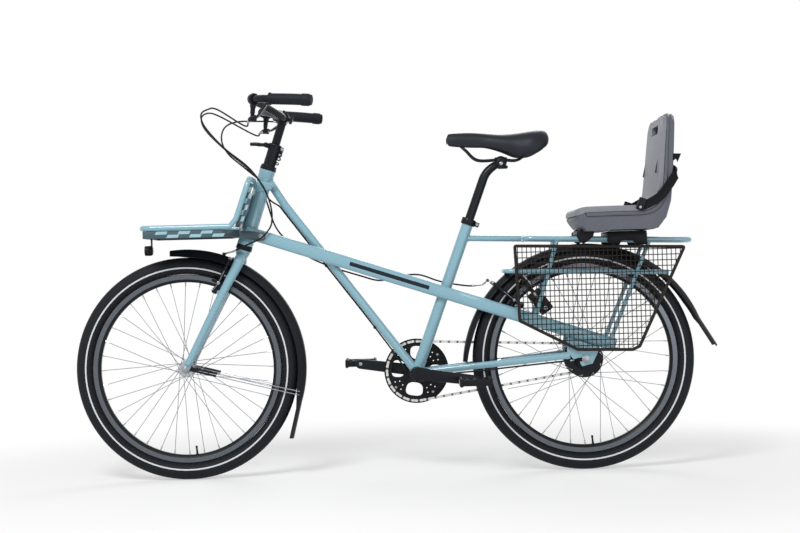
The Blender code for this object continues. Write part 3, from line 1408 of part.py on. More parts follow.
def lattice(left, right, foot, top, thickness):
    """Square wire mesh as one sheet: bars at even pitch with holes between them."""
    xs = []
    x = left
    while x < right:
        xs += [x, x + NET_WIRE]
        x += NET_PITCH_X
    zs = []
    z = foot
    while z < top:
        zs += [z, z + NET_WIRE]
        z += NET_PITCH_Z
    bm = bmesh.new()
    grid = [[bm.verts.new((x, -GUARD_SIDE - thickness / 2, z)) for z in zs] for x in xs]
    for i in range(len(xs) - 1):
        for j in range(len(zs) - 1):
            if i % 2 and j % 2:
                continue
            bm.faces.new((grid[i][j], grid[i + 1][j], grid[i + 1][j + 1], grid[i][j + 1]))
    pushed = bmesh.ops.extrude_face_region(bm, geom=bm.faces[:])
    moved = [item for item in pushed["geom"] if isinstance(item, bmesh.types.BMVert)]
    bmesh.ops.translate(bm, vec=(0, thickness, 0), verts=moved)
    return to_mesh(bm)


def inset(corners, distance):
    """Convex outline drawn in by a distance; the corners run clockwise seen from the left."""
    lines = []
    for near, far in zip(corners, corners[1:] + corners[:1]):
        near, far = Vector(near), Vector(far)
        run = (far - near).normalized()
        inward = Vector((run.y, -run.x))
        lines.append((near + inward * distance, run))
    found = []
    for (p, r), (q, s) in zip([lines[-1], *lines[:-1]], lines):
        share = ((q.x - p.x) * s.y - (q.y - p.y) * s.x) / (r.x * s.y - r.y * s.x)
        found.append(tuple(p + r * share))
    return found


net_sheet = 0.0016
net_edge = inset(guard_corners, GUARD_TUBE_RADIUS + GAP)
net_inner = inset(guard_corners, GUARD_TUBE_RADIUS + GAP + NET_WIRE)
net_clip = inset(guard_corners, GUARD_TUBE_RADIUS + GAP + NET_WIRE * 0.5)
guard_net = piece(
    "guard_net", "dark_wire", bike,
    lattice(0.962, 1.490, 0.338, 0.690, net_sheet),
)
clip = link("guard_net.clip", upright_slab(net_clip, -GUARD_SIDE - 0.01, -GUARD_SIDE + 0.01), bike)
hem = link("guard_net.hem", upright_slab(net_edge, -GUARD_SIDE - 0.0012, -GUARD_SIDE + 0.0012), bike)
hem_hole = link("guard_net.hem_hole", upright_slab(net_inner, -GUARD_SIDE - 0.01, -GUARD_SIDE + 0.01), bike)
round_frame = link("guard_net.frame", tube(guard_path, GUARD_TUBE_RADIUS + GAP, 8, closed=True), bike)
for owner, tool, operation in (
    (hem, hem_hole, "DIFFERENCE"), (guard_net, clip, "INTERSECT"), (guard_net, hem, "UNION"),
    (guard_net, round_frame, "DIFFERENCE"),
):
    tool.hide_render = True
    tool.display_type = "WIRE"
    modifier = owner.modifiers.new(tool.name, "BOOLEAN")
    modifier.operation = operation
    modifier.object = tool
    modifier.solver = "EXACT"

# Seatpost, saddle rails and saddle

seat_carrier = pivot("seatpost_axis", on_seat(SEAT_TUBE_LENGTH), bike)
post_top = SEAT_TUBE_LENGTH + SEATPOST_RISE
head_place = on_seat(post_top) + Vector((0.044, 0, 0.023))
rail_z = head_place.z + 0.010
saddle_tail = SADDLE_NOSE_X + SADDLE_LENGTH


def rail_path():
    """Centre line of the two rails, which is one bent wire."""
    one_side = [
        Vector((SADDLE_NOSE_X + 0.030, 0.004, SADDLE_TOP - 0.030)),
        Vector((SADDLE_NOSE_X + 0.055, 0.016, SADDLE_TOP - 0.052)),
        Vector((SADDLE_NOSE_X + 0.090, 0.021, rail_z)),
        Vector((head_place.x, 0.022, rail_z)),
        Vector((SADDLE_NOSE_X + 0.215, 0.024, rail_z)),
        Vector((SADDLE_NOSE_X + 0.262, 0.038, SADDLE_TOP - 0.034)),
    ]
    return list(reversed(mirrored(one_side, -1))) + one_side


def rail_cutter():
    """Space that the rails take."""
    path = rail_path()
    first = path[0] + (path[0] - path[1]).normalized() * GAP
    last = path[-1] + (path[-1] - path[-2]).normalized() * GAP
    return tube([first, *path[1:-1], last], RAIL_RADIUS + GAP, 8)


piece(
    "seatpost", "black", seat_carrier,
    tube([on_seat(SEAT_TUBE_LENGTH - SEATPOST_DEPTH), on_seat(SEAT_TUBE_LENGTH - 0.01), on_seat(post_top - 0.020),
          on_seat(post_top - 0.006, 0.004), on_seat(post_top + 0.004, 0.014), head_place + Vector((-0.010, 0, 0))],
         [SEATPOST_RADIUS, SEATPOST_RADIUS, SEATPOST_RADIUS, SEATPOST_RADIUS, 0.0125, 0.011], 12),
    joins=[
        block(head_place + Vector((0, 0, 0.003)), (0.040, 0.058, 0.024)),
        rod(head_place + Vector((0, -0.034, -0.003)), head_place + Vector((0, 0.034, -0.003)), 0.006),
    ],
    cuts=[rail_cutter()],
)
piece("saddle_rails", "silver", seat_carrier, tube(rail_path(), RAIL_RADIUS, 6))


def saddle_ring(x, width, top, skirt, crown=0.004):
    """Cross-section of the saddle at x, hollow underneath."""
    half = width / 2
    under = min(top - 0.022, skirt + 0.028)
    return [
        Vector((x, 0, top)), Vector((x, half * 0.55, top - crown)), Vector((x, half * 0.9, top - crown * 3)),
        Vector((x, half, (top + skirt) / 2)), Vector((x, half * 0.97, skirt)), Vector((x, half * 0.86, skirt)),
        Vector((x, half * 0.55, under - 0.004)), Vector((x, 0, under)), Vector((x, -half * 0.55, under - 0.004)),
        Vector((x, -half * 0.86, skirt)), Vector((x, -half * 0.97, skirt)), Vector((x, -half, (top + skirt) / 2)),
        Vector((x, -half * 0.9, top - crown * 3)), Vector((x, -half * 0.55, top - crown)),
    ]


nose = SADDLE_NOSE_X
piece(
    "saddle", "saddle", seat_carrier,
    loft([
        saddle_ring(nose, 0.022, SADDLE_TOP - 0.006, SADDLE_TOP - 0.030, 0.002),
        saddle_ring(nose + 0.010, 0.036, SADDLE_TOP - 0.001, SADDLE_TOP - 0.040),
        saddle_ring(nose + 0.070, 0.046, SADDLE_TOP, SADDLE_TOP - 0.044),
        saddle_ring(nose + 0.115, 0.058, SADDLE_TOP - 0.004, SADDLE_TOP - 0.046),
        saddle_ring(nose + 0.160, 0.092, SADDLE_TOP - 0.008, SADDLE_TOP - 0.058),
        saddle_ring(nose + 0.205, 0.136, SADDLE_TOP - 0.006, SADDLE_TOP - 0.075),
        saddle_ring(nose + 0.245, SADDLE_WIDTH, SADDLE_TOP - 0.001, SADDLE_TOP - 0.074),
        saddle_ring(nose + 0.278, SADDLE_WIDTH * 0.94, SADDLE_TOP, SADDLE_TOP - 0.058),
        saddle_ring(nose + 0.295, SADDLE_WIDTH * 0.72, SADDLE_TOP - 0.010, SADDLE_TOP - 0.044),
        saddle_ring(saddle_tail, SADDLE_WIDTH * 0.50, SADDLE_TOP - 0.018, SADDLE_TOP - 0.040),
    ]),
    cuts=[rail_cutter()],
)

# Child seat with its bracket on the rack and its belt

seat_foot_z = rack_z(1.150) + RACK_TUBE_RADIUS + GAP
seat_bottom = 0.703
shell_outline = [
    (1.142, 0.731), (1.150, 0.757), (1.180, 0.773), (1.215, 0.772), (1.330, 0.790), (1.361, 0.822), (1.388, 1.021),
    (1.404, 1.042), (1.426, 1.047), (1.441, 1.038), (1.446, 1.017), (1.424, 0.729), (1.408, seat_bottom),
    (1.170, seat_bottom),
]
hollow_outline = [
    (1.100, 0.765), (1.175, 0.752), (1.342, 0.742), (1.374, 0.756), (1.415, 1.000), (1.408, 1.025), (1.395, 1.080),
    (1.100, 1.080),
]
inner_half = CHILD_SEAT_HALF_WIDTH - CHILD_SEAT_WALL
foot_outer = RACK_SIDE + RACK_TUBE_RADIUS + 0.006
foot_inner = RACK_SIDE + RACK_TUBE_RADIUS + GAP
foot_joins = [
    block(Vector((1.165, 0, (seat_foot_z + seat_bottom + 0.003) / 2)),
          (0.030, foot_outer * 2, seat_bottom + 0.003 - seat_foot_z)),
]
for word, hand in SIDES:
    middle = (foot_inner + foot_outer) / 2
    foot_joins.append(block(Vector((1.165, hand * middle, (0.668 + seat_foot_z + 0.003) / 2)),
                            (0.028, foot_outer - foot_inner, seat_foot_z + 0.003 - 0.668)))
piece(
    "child_seat", "seat_grey", bike,
    upright_slab(shell_outline, -CHILD_SEAT_HALF_WIDTH, CHILD_SEAT_HALF_WIDTH),
    joins=foot_joins,
    cuts=[
        upright_slab(hollow_outline, -inner_half, inner_half),
        block(Vector((1.425, 0, 1.008)), (0.080, 0.110, 0.018), Vector((0.99, 0, -0.12)).normalized()),
        block(Vector((1.330, 0, seat_bottom)), (0.120, 0.230, 0.040)),
    ],
)
rail_top = rack_z(1.249) + RACK_TUBE_RADIUS + GAP
side_plate = [(1.249, 0.6665), (1.283, 0.6610), (1.290, 0.6750), (1.324, 0.6740), (1.331, 0.6610), (1.365, 0.6620),
              (1.365, 0.6965), (1.249, 0.6995)]
bracket_joins = []
for word, hand in SIDES:
    bracket_joins.append(upright_slab(side_plate, hand * foot_inner, hand * (foot_outer + 0.002)))
piece(
    "child_seat_bracket", "black", bike,
    slab([(1.249, -foot_outer, rail_top), (1.249, foot_outer, rail_top), (1.365, foot_outer, rail_top),
          (1.365, -foot_outer, rail_top)], Vector((0, 0, seat_bottom - GAP - rail_top))),
    joins=bracket_joins,
)
strap_side = CHILD_SEAT_HALF_WIDTH + GAP
belt_top = Vector((1.426, 0, 0.866))
belt_foot = Vector((1.352, 0, 0.763))
belt_run = (belt_top - belt_foot).normalized()
belt_wide = Vector((-belt_run.z, 0, belt_run.x)) * 0.010
strap_outline = [belt_foot + belt_wide, belt_top + belt_wide, belt_top - belt_wide, belt_foot - belt_wide]
piece(
    "child_seat_strap", "black", bike,
    slab([point - ACROSS * strap_side for point in strap_outline], -ACROSS * 0.0025),
    joins=[
        block(belt_foot + belt_run * 0.020 - ACROSS * (strap_side + 0.0045), (0.038, 0.008, 0.030), belt_run,
              belt_wide.normalized()),
    ],
)

# Cables, with their routes as chosen points


def lever_exit(hand):
    """Cable stop of one brake lever and the direction in which its cable leaves."""
    root = mirrored([blade_root], hand)[0]
    axis = mirror_vector(blade_axis, hand)
    run = mirror_vector(blade_pull, hand) * 0.004 - mirror_vector(blade_run, hand) * 0.030
    stop = root - axis * 0.0088 + run
    return stop + run.normalized() * GAP, run.normalized()


left_stop, left_run = lever_exit(-1)
right_stop, right_run = lever_exit(1)
cord("brake_cable_front", "black", steering, [
    left_stop, left_stop + left_run * 0.035, (0.145, -0.135, 1.045), (0.095, -0.075, 1.055), (0.135, -0.038, 0.985),
    (0.195, -0.037, 0.930), (0.229, -0.038, 0.884), (0.231, -0.043, 0.840), (0.217, -0.054, 0.785),
    (0.204, -0.058, 0.735), (0.182, -0.060, 0.695), (0.150, -0.052, 0.673), (0.122, -0.030, 0.669),
    (0.116, 0.000, 0.668), (0.118, 0.032, 0.666),
])
cord("brake_cable_rear", "black", bike, [
    right_stop, right_stop + right_run * 0.035, (0.150, 0.130, 1.030), (0.105, 0.075, 1.030), (0.150, 0.038, 0.960),
    (0.229, 0.037, 0.884), (0.248, 0.043, 0.810), (0.275, 0.047, 0.735), (0.340, 0.0455, 0.6690),
    (0.420, 0.0310, 0.6260), (0.520, 0.0240, 0.5915), (0.580, 0.0080, 0.5760), (0.640, 0.0060, 0.5880),
    (0.695, 0.0120, 0.5900), (0.750, 0.0240, 0.5710), (0.790, 0.0265, 0.5610), (0.840, 0.0350, 0.5530),
    (0.880, 0.0410, 0.5535), (0.897, 0.0300, 0.5660), (0.899, 0.0000, 0.5690), (0.899, -0.0400, 0.5660),
])
cord("gear_cable", "black", bike, [
    gear_stop, gear_stop + gear_run * 0.012, (0.225, 0.185, 1.078), (0.150, 0.150, 1.078), (0.120, 0.085, 1.070),
    (0.160, 0.045, 1.000), (0.200, 0.035, 0.930), (0.2285, 0.031, 0.884), (0.245, 0.033, 0.840),
    (0.262, 0.024, 0.820), (0.2860, 0.010, 0.804), (0.3030, 0.002, 0.7815), (0.4200, 0, 0.6245),
    (0.5600, 0, 0.4370), (0.6370, 0, 0.3270), (0.6520, -0.002, 0.2880), (0.6780, -0.0090, 0.2735),
    (0.7200, -0.0190, 0.2810), (0.7910, -0.0375, 0.2970), (0.8510, -0.0440, 0.3015), (1.0000, -0.0565, 0.3152),
    (1.1000, -0.0610, 0.3240), (1.1450, -0.0520, 0.3280),
])
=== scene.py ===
import json
import math
import bpy
from mathutils import Matrix, Vector


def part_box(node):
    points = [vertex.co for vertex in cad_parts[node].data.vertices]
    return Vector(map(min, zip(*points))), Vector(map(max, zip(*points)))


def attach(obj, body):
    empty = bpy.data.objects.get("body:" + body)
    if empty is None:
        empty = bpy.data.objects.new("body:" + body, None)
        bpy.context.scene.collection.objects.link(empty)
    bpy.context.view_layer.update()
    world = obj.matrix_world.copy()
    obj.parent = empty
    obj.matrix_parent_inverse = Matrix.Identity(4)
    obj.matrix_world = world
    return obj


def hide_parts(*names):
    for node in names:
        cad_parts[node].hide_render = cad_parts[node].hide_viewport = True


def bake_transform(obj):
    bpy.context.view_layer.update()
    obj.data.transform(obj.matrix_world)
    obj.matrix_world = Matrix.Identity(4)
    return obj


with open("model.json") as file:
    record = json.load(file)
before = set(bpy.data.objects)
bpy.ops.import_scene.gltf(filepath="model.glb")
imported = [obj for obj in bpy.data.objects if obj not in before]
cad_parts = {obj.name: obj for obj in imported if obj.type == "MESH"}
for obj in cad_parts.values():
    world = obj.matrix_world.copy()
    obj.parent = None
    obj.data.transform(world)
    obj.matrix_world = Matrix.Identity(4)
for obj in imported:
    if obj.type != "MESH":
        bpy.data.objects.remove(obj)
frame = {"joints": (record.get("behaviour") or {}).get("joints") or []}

# The camera stands square to the bike's left side, a little lower than the rear rack and slightly rolled.
# The CAD box is kept here.

for spare in ("Cube", "Light", "Camera"):
    if spare in bpy.data.objects:
        bpy.data.objects.remove(bpy.data.objects[spare])
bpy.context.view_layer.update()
bpy.ops.object.camera_add(location=(0.01675, -4.8, 0.616), rotation=(math.radians(90), math.radians(1.52),
    0))
camera = bpy.context.object
camera.data.lens = 72.6
camera.data.sensor_width = 36
bpy.context.scene.camera = camera
bpy.context.scene.view_settings.view_transform = "Standard"

# A white studio: a soft lamp over the near side, a low one beside the camera and one over the far side.
# The floor is matt white and takes the shadow, and it fades into the white room away from the bike.


def lamp(name, place, target, size, power):
    """Soft square lamp that faces a point."""
    bpy.ops.object.light_add(type="AREA", location=place)
    light = bpy.context.object
    light.name = name
    light.data.size = size
    light.data.energy = power
    light.rotation_euler = (Vector(target) - Vector(place)).to_track_quat("-Z", "Y").to_euler()


lamp("key_lamp", (-1.3, -2.9, 3.2), (0, 0, 0.5), 1.3, 105)
lamp("fill_lamp", (1.8, -3.6, 1.2), (0, 0, 0.5), 1.8, 20)
lamp("back_lamp", (0.6, 3.0, 2.6), (0, 0, 0.6), 2.0, 36)


def feed(tree, node, inputs):
    """Give a shader node's inputs their values, or link them to other nodes' sockets."""
    for key, value in inputs.items():
        if isinstance(value, bpy.types.NodeSocket):
            tree.links.new(value, node.inputs[key])
        else:
            node.inputs[key].default_value = value
    return node


def add_node(tree, kind, inputs=None, **settings):
    """New shader node with its settings and inputs."""
    node = tree.nodes.new(f"ShaderNode{kind}")
    for name, value in settings.items():
        setattr(node, name, value)
    return feed(tree, node, inputs or {})


room = bpy.data.worlds.new("white_room")
bpy.context.scene.world = room
room.use_nodes = True
room_tree = room.node_tree
rays = add_node(room_tree, "LightPath").outputs
seen_straight = add_node(room_tree, "Math", {0: rays["Is Camera Ray"], 1: rays["Is Glossy Ray"]},
    operation="ADD")
seen_all = add_node(room_tree, "Math", {0: seen_straight.outputs[0], 1: rays["Is Transmission Ray"]},
    operation="ADD", use_clamp=True)
level = add_node(room_tree, "MapRange", {"Value": seen_all.outputs[0], "To Min": 0.42, "To Max": 1.0})
feed(room_tree, room_tree.nodes["Background"], {"Color": (1, 1, 1, 1), "Strength": level.outputs["Result"]})

bpy.ops.mesh.primitive_circle_add(vertices=96, radius=9, fill_type="NGON")
floor = bpy.context.object
floor.name = "studio_floor"
floor_finish = bpy.data.materials.new("matt_floor")
floor_finish.use_nodes = True
floor_tree = floor_finish.node_tree
matt = feed(floor_tree, floor_tree.nodes["Principled BSDF"], {"Base Color": (0.93, 0.93, 0.93, 1),
    "Roughness": 0.9, "Specular IOR Level": 0.0})
floor_place = add_node(floor_tree, "TexCoord")
floor_reach = add_node(floor_tree, "VectorMath", {0: floor_place.outputs["Object"]}, operation="LENGTH")
floor_fade = add_node(floor_tree, "MapRange", {"Value": floor_reach.outputs["Value"], "From Min": 1.0,
    "From Max": 1.9, "To Min": 0.4}, interpolation_type="SMOOTHSTEP")
floor_white = add_node(floor_tree, "Emission", {"Color": (1, 1, 1, 1)})
floor_mix = add_node(floor_tree, "MixShader", {"Fac": floor_fade.outputs["Result"], 1: matt.outputs["BSDF"],
    2: floor_white.outputs["Emission"]})
feed(floor_tree, floor_tree.nodes["Material Output"], {"Surface": floor_mix.outputs["Shader"]})
floor.data.materials.append(floor_finish)

# Main frame: round head tube, bent down tube and seat tube with the bottom bracket's shell, in thin steel.
# The tubes are mitred, welded with a rippled bead and sprayed blue under a clear coat.

front_axle = (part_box("front_tyre")[0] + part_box("front_tyre")[1]) / 2
rear_axle = (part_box("rear_tyre")[0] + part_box("rear_tyre")[1]) / 2
joint = {row["name"]: row for row in frame["joints"]}
head_foot = Vector(joint["steering"]["pos_m"])
head_up = Vector(joint["steering"]["axis"])
head_forward = Vector((-head_up.z, 0, head_up.x))
bracket = Vector(joint["crank_turn"]["pos_m"])
seat_up = Vector(joint["seatpost_height"]["axis"])
seat_back = Vector((seat_up.z, 0, -seat_up.x))
across = Vector((0, 1, 0))
sides = (("left", -1), ("right", 1))


def at(x, y, z):
    """Place measured from the ground under the front axle: x to the rear, y to the bike's right, z up."""
    return Vector((front_axle.x + x, y, z))


def on_head(along, forward=0.0, side=0.0):
    """Place measured up the steering axis from the head tube's foot."""
    return head_foot + head_up * along + head_forward * forward + across * side


def on_seat(along, back=0.0, side=0.0):
    """Place measured up the seat tube from the bottom bracket."""
    return bracket + seat_up * along + seat_back * back + across * side


def ray(turn):
    """Direction in the bike's own plane, at a turn in radians."""
    return Vector((math.cos(turn), 0, math.sin(turn)))


def shade(red, green, blue):
    """Colour written as it shows on a screen, as the light that a surface gives back."""
    return tuple((value / 255 / 12.92) if value < 11 else ((value / 255 + 0.055) / 1.055) ** 2.4
        for value in (red, green, blue))


def surface(name, colour, roughness, metallic=0.0, mottle=0.08, scale=40.0, grain=700.0, relief=0.0,
        coat=0.0, worn=0.0, gloss=0.5):
    """Finish with faint clouds of tone, roughness that follows them, fine grain in relief and paler edges."""
    material = bpy.data.materials.new(name)
    material.use_nodes = True
    tree = material.node_tree
    place = add_node(tree, "TexCoord", name="place").outputs["Object"]
    cloud = add_node(tree, "TexNoise", {"Vector": place, "Scale": scale, "Detail": 4}).outputs["Fac"]
    tone = add_node(tree, "ValToRGB", {"Fac": cloud})
    for stop, position, change in zip(tone.color_ramp.elements, (0.32, 0.68), (1 - mottle, 1 + mottle)):
        stop.position = position
        stop.color = (*(min(1, value * change) for value in colour), 1)
    edge = add_node(tree, "NewGeometry").outputs["Pointiness"]
    rub = add_node(tree, "MapRange", {"Value": edge, "From Min": 0.52, "From Max": 0.62, "To Max": worn})
    rubbed_colour = (*(min(1, value * 1.5 + 0.03) for value in colour), 1)
    paler = add_node(tree, "Mix", {"Factor": rub.outputs["Result"], "A": tone.outputs["Color"],
        "B": rubbed_colour}, data_type="RGBA", name="paler")
    sheen = add_node(tree, "MapRange", {"Value": cloud, "To Min": roughness * 0.85, "To Max": min(1,
        roughness * 1.2)})
    fine = add_node(tree, "TexNoise", {"Vector": place, "Scale": grain}, name="fine")
    raised = add_node(tree, "Bump", {"Height": fine.outputs["Fac"], "Strength": 0.6, "Distance": relief
        or 0.00002}, name="raised")
    feed(tree, tree.nodes["Principled BSDF"], {
        "Metallic": metallic, "Coat Weight": coat, "Specular IOR Level": gloss, "Coat Roughness": 0.08,
        "Base Color": paler.outputs["Result"], "Roughness": sheen.outputs["Result"],
            "Normal": raised.outputs["Normal"]})
    return material


def tube(points, radius, closed=False, round_steps=4, oval=None):
    """Tube along points. Radius is one value or one for each point; oval is a height over a width."""
    bpy.ops.object.select_all(action="DESELECT")
    bpy.ops.curve.primitive_nurbs_path_add()
    thing = bpy.context.object
    line = thing.data
    line.splines.clear()
    line.twist_mode = "Z_UP" if oval else "MINIMUM"
    spline = line.splines.new("POLY")
    spline.points.add(len(points) - 1)
    spline.use_cyclic_u = closed
    widest = max(radius) if isinstance(radius, list) else radius
    for number, (point, spot) in enumerate(zip(spline.points, points)):
        point.co = (*spot, 1)
        if isinstance(radius, list):
            point.radius = radius[number] / widest
    line.use_fill_caps = not closed
    if oval:
        bpy.ops.curve.primitive_bezier_circle_add(radius=widest)
        section = bpy.context.object
        section.data.resolution_u = 8
        for knot in section.data.splines[0].bezier_points:
            knot.co.y *= oval
            knot.handle_left.y *= oval
            knot.handle_right.y *= oval
        line.bevel_mode = "OBJECT"
        line.bevel_object = section
    else:
        line.bevel_depth = widest
        line.bevel_resolution = round_steps
    bpy.ops.object.select_all(action="DESELECT")
    thing.select_set(True)
    bpy.context.view_layer.objects.active = thing
    bpy.ops.object.convert(target="MESH")
    if oval:
        bpy.data.objects.remove(section)
    return bpy.context.object


def rounded(points, radius, steps=6, closed=False):
    """Straight runs through the points, with a bend at each corner."""
    found = []
    for index, corner in enumerate(points):
        if not closed and index in (0, len(points) - 1):
            found.append(Vector(corner))
            continue
        before = points[index - 1] - corner
        after = points[(index + 1) % len(points)] - corner
        reach = radius / math.tan(before.angle(after) / 2)
        start = corner + before.normalized() * reach
        end = corner + after.normalized() * reach
        for step in range(steps + 1):
            t = step / steps
            found.append(start * (1 - t) ** 2 + corner * 2 * t * (1 - t) + end * t * t)
    return found


def turned(outline, centre, axis, steps=48):
    """Spin an outline of (along, radius) points round an axis, as on a lathe."""
    first = (across if abs(axis.y) < 0.9 else Vector((1, 0, 0))).cross(axis).normalized()
    bpy.ops.object.select_all(action="DESELECT")
    bpy.ops.mesh.primitive_circle_add(vertices=len(outline), radius=1)
    thing = bpy.context.object
    for vertex, (along, radius) in zip(thing.data.vertices, outline):
        vertex.co = centre + axis * along + first * radius
    bpy.ops.object.mode_set(mode="EDIT")
    bpy.ops.mesh.select_all(action="SELECT")
    bpy.ops.mesh.spin(steps=steps, angle=math.tau, center=centre, axis=axis)
    bpy.ops.mesh.select_all(action="SELECT")
    bpy.ops.mesh.remove_doubles(threshold=0.000005)
    bpy.ops.mesh.delete_loose()
    bpy.ops.mesh.select_all(action="SELECT")
    bpy.ops.mesh.normals_make_consistent(inside=False)
    bpy.ops.object.mode_set(mode="OBJECT")
    return thing


def joined(things):
    """Several pieces as one object."""
    bpy.ops.object.select_all(action="DESELECT")
    for thing in things:
        thing.select_set(True)
    bpy.context.view_layer.objects.active = things[0]
    bpy.ops.object.join()
    return bpy.context.object


def settle(thing, name, body, material, nodes=(), angle=35):
    """Name a finished piece, smooth it, give it its finish and hang it on the body that carries it."""
    bpy.ops.object.select_all(action="DESELECT")
    thing.select_set(True)
    bpy.context.view_layer.objects.active = thing
    bpy.ops.object.transform_apply(location=True, rotation=True, scale=True)
    bpy.ops.object.shade_smooth_by_angle(angle=math.radians(angle))
    thing.name = name
    if not thing.data.materials:
        thing.data.materials.append(material)
    if body:
        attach(thing, body)
    if nodes:
        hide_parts(*nodes)
    return thing


def weld(main, axis, main_radius, start, run, radius):
    """Rippled bead where a tube that runs from start meets a main tube."""
    wide = across if abs(run.y) < 0.9 else Vector((1, 0, 0))
    wide = (wide - run * wide.dot(run)).normalized()
    tall = run.cross(wide)
    points = []
    for step in range(56):
        turn = math.tau * step / 56
        spot = start + (wide * math.cos(turn) + tall * math.sin(turn)) * radius
        flat_run = run - axis * run.dot(axis)
        flat_spot = (spot - main) - axis * (spot - main).dot(axis)
        square = flat_run.dot(flat_run)
        middle = flat_run.dot(flat_spot)
        reach = math.sqrt(max(middle ** 2 - square * (flat_spot.dot(flat_spot) - main_radius ** 2), 0))
        points.append(spot + run * ((-middle - reach) / square))
    return tube(points, [0.0019 if step % 2 else 0.0015 for step in range(56)], closed=True, round_steps=1)


frame_blue = surface("frame_blue_paint", shade(122, 164, 178), 0.26, mottle=0.03, scale=900, grain=1800,
    relief=0.00002, coat=0.6)
head_length = 0.232
settle(turned([(0, 0.017), (0, 0.0238), (0.01, 0.0238), (0.012, 0.023), (head_length - 0.012, 0.023),
    (head_length - 0.01, 0.0238), (head_length, 0.0238), (head_length, 0.017)], on_head(0), head_up, 64),
    "head_tube_steel", "frame", frame_blue, ["head_tube"])
bend = at(0.302, 0, 0.808)
down_line = rounded([on_head(0.214), bend, bracket + (bend - bracket).normalized() * 0.012], 0.1, 10)
down_run = (bracket - bend).normalized()
settle(joined([
    tube(down_line, 0.0127, round_steps=7),
    weld(on_head(0), head_up, 0.023, bend, (on_head(0.214) - bend).normalized(), 0.0127),
    weld(bracket, across, 0.02, bend, down_run, 0.0127),
]), "down_tube_steel", "frame", frame_blue, ["down_tube"])
seat_length = 0.4815
shell_half = 0.034
settle(joined([
    turned([(0.012, 0.0142), (0.012, 0.017), (seat_length, 0.017), (seat_length, 0.0142)], bracket, seat_up,
        64),
    turned([(-shell_half, 0.0126), (-shell_half, 0.0192), (-shell_half + 0.0008, 0.02), (shell_half - 0.0008,
        0.02), (shell_half, 0.0192), (shell_half, 0.0126)], bracket, across, 64),
    weld(bracket, across, 0.02, on_seat(0.1), -seat_up, 0.017),
]), "seat_tube_steel", "frame", frame_blue, ["seat_tube"])

# Twin side tubes: flat oval steel from the head tube past the seat tube to the rear axle, one on each side.
# They are bent out round the wheel, brazed to the tubes they pass, and capped at both ends.

twin_start = at(0.1924, 0, 0.7286)
twin_slope = -0.335
twin_side = 0.0283
twin_oval = 19 / 11


def twin_z(x):
    """Height of the side tubes' centre line."""
    return twin_start.z + twin_slope * (x - 0.1924)


def smooth(points, steps=6):
    """Points on one smooth curve through the given points."""
    padded = [points[0] * 2 - points[1], *points, points[-1] * 2 - points[-2]]
    found = []
    for a, b, c, d in zip(padded, padded[1:], padded[2:], padded[3:]):
        for step in range(steps):
            t = step / steps
            found.append(0.5 * (2 * b + (c - a) * t + (2 * a - 5 * b + 4 * c - d) * t * t
                + (3 * b - a - 3 * c + d) * t * t * t))
    return found + [points[-1].copy()]


twin_stations = ((0.1862, twin_side), (0.806, twin_side), (0.876, 0.046), (1.101, 0.06), (1.262, 0.066))
rear_up = ray(math.radians(139.5))
rear_out = Vector((rear_up.z, 0, -rear_up.x))
rear_stud = rear_axle + rear_up * 0.2465 + rear_out * 0.004
stripe_paint = surface("dark_stripe_paint", shade(22, 30, 40), 0.35, mottle=0.06, scale=500, relief=0.00001,
    gloss=0.2)
for word, hand in sides:
    corners = [at(x, hand * side, twin_z(x)) for x, side in twin_stations]
    line = rounded(corners, 0.16, 8)
    start_run = (line[1] - line[0]).normalized()
    end_run = (line[-1] - line[-2]).normalized()
    line = [line[0] - start_run * 0.003, line[0], *line[1:], line[-1] + end_run * 0.004]
    radii = [0.0085, *[0.011] * (len(line) - 2), 0.008]
    parts = [tube(line, radii, oval=twin_oval)]
    stud = rear_stud + across * hand * 0.047
    parts.append(tube([stud - rear_out * 0.022, stud - rear_out * 0.0085], 0.0065))
    parts.append(tube([stud - rear_out * 0.0085, stud + rear_out * 0.0095], 0.0044))
    parts.append(turned([(0.0072, 0), (0.0072, 0.0062), (0.0102, 0.0056), (0.0106, 0.003), (0.0092, 0)],
        stud, rear_out, 20))
    settle(joined(parts), f"side_tube_{word}", "frame", frame_blue, [f"lateral_tube_{word}"])
    stripe = tube([at(x, hand * twin_side, twin_z(x)) for x in (0.47, 0.5, 0.715, 0.745)], [0.0104, 0.01125,
        0.01125, 0.0104], oval=twin_oval)
    bpy.ops.object.mode_set(mode="EDIT")
    bpy.ops.mesh.select_all(action="SELECT")
    slope = Vector((1, 0, twin_slope)).normalized()
    over = Vector((-slope.z, 0, slope.x))
    spot = at(0.6, hand * twin_side, twin_z(0.6))
    bpy.ops.mesh.bisect(plane_co=spot + over * 0.006, plane_no=over, clear_outer=True)
    bpy.ops.mesh.select_all(action="SELECT")
    bpy.ops.mesh.bisect(plane_co=spot - over * 0.0055, plane_no=-over, clear_outer=True)
    bpy.ops.mesh.select_all(action="SELECT")
    bpy.ops.mesh.bisect(plane_co=spot, plane_no=across * -hand, clear_outer=True)
    bpy.ops.object.mode_set(mode="OBJECT")
    settle(stripe, f"side_tube_stripe_{word}", "frame", stripe_paint)

# Chainstays: slim oval tubes from the bottom bracket to cut steel end plates, which hold the rear axle.
# Each plate has an open slot for the axle and is welded up under its side tube.


def soften(thing, width, segments=2, angle=35):
    """Round off a piece's sharp edges."""
    bpy.context.view_layer.objects.active = thing
    edge = thing.modifiers.new("soft_edge", "BEVEL")
    edge.width = width
    edge.segments = segments
    edge.angle_limit = math.radians(angle)
    edge.use_clamp_overlap = True
    bpy.ops.object.modifier_apply(modifier=edge.name)
    return thing


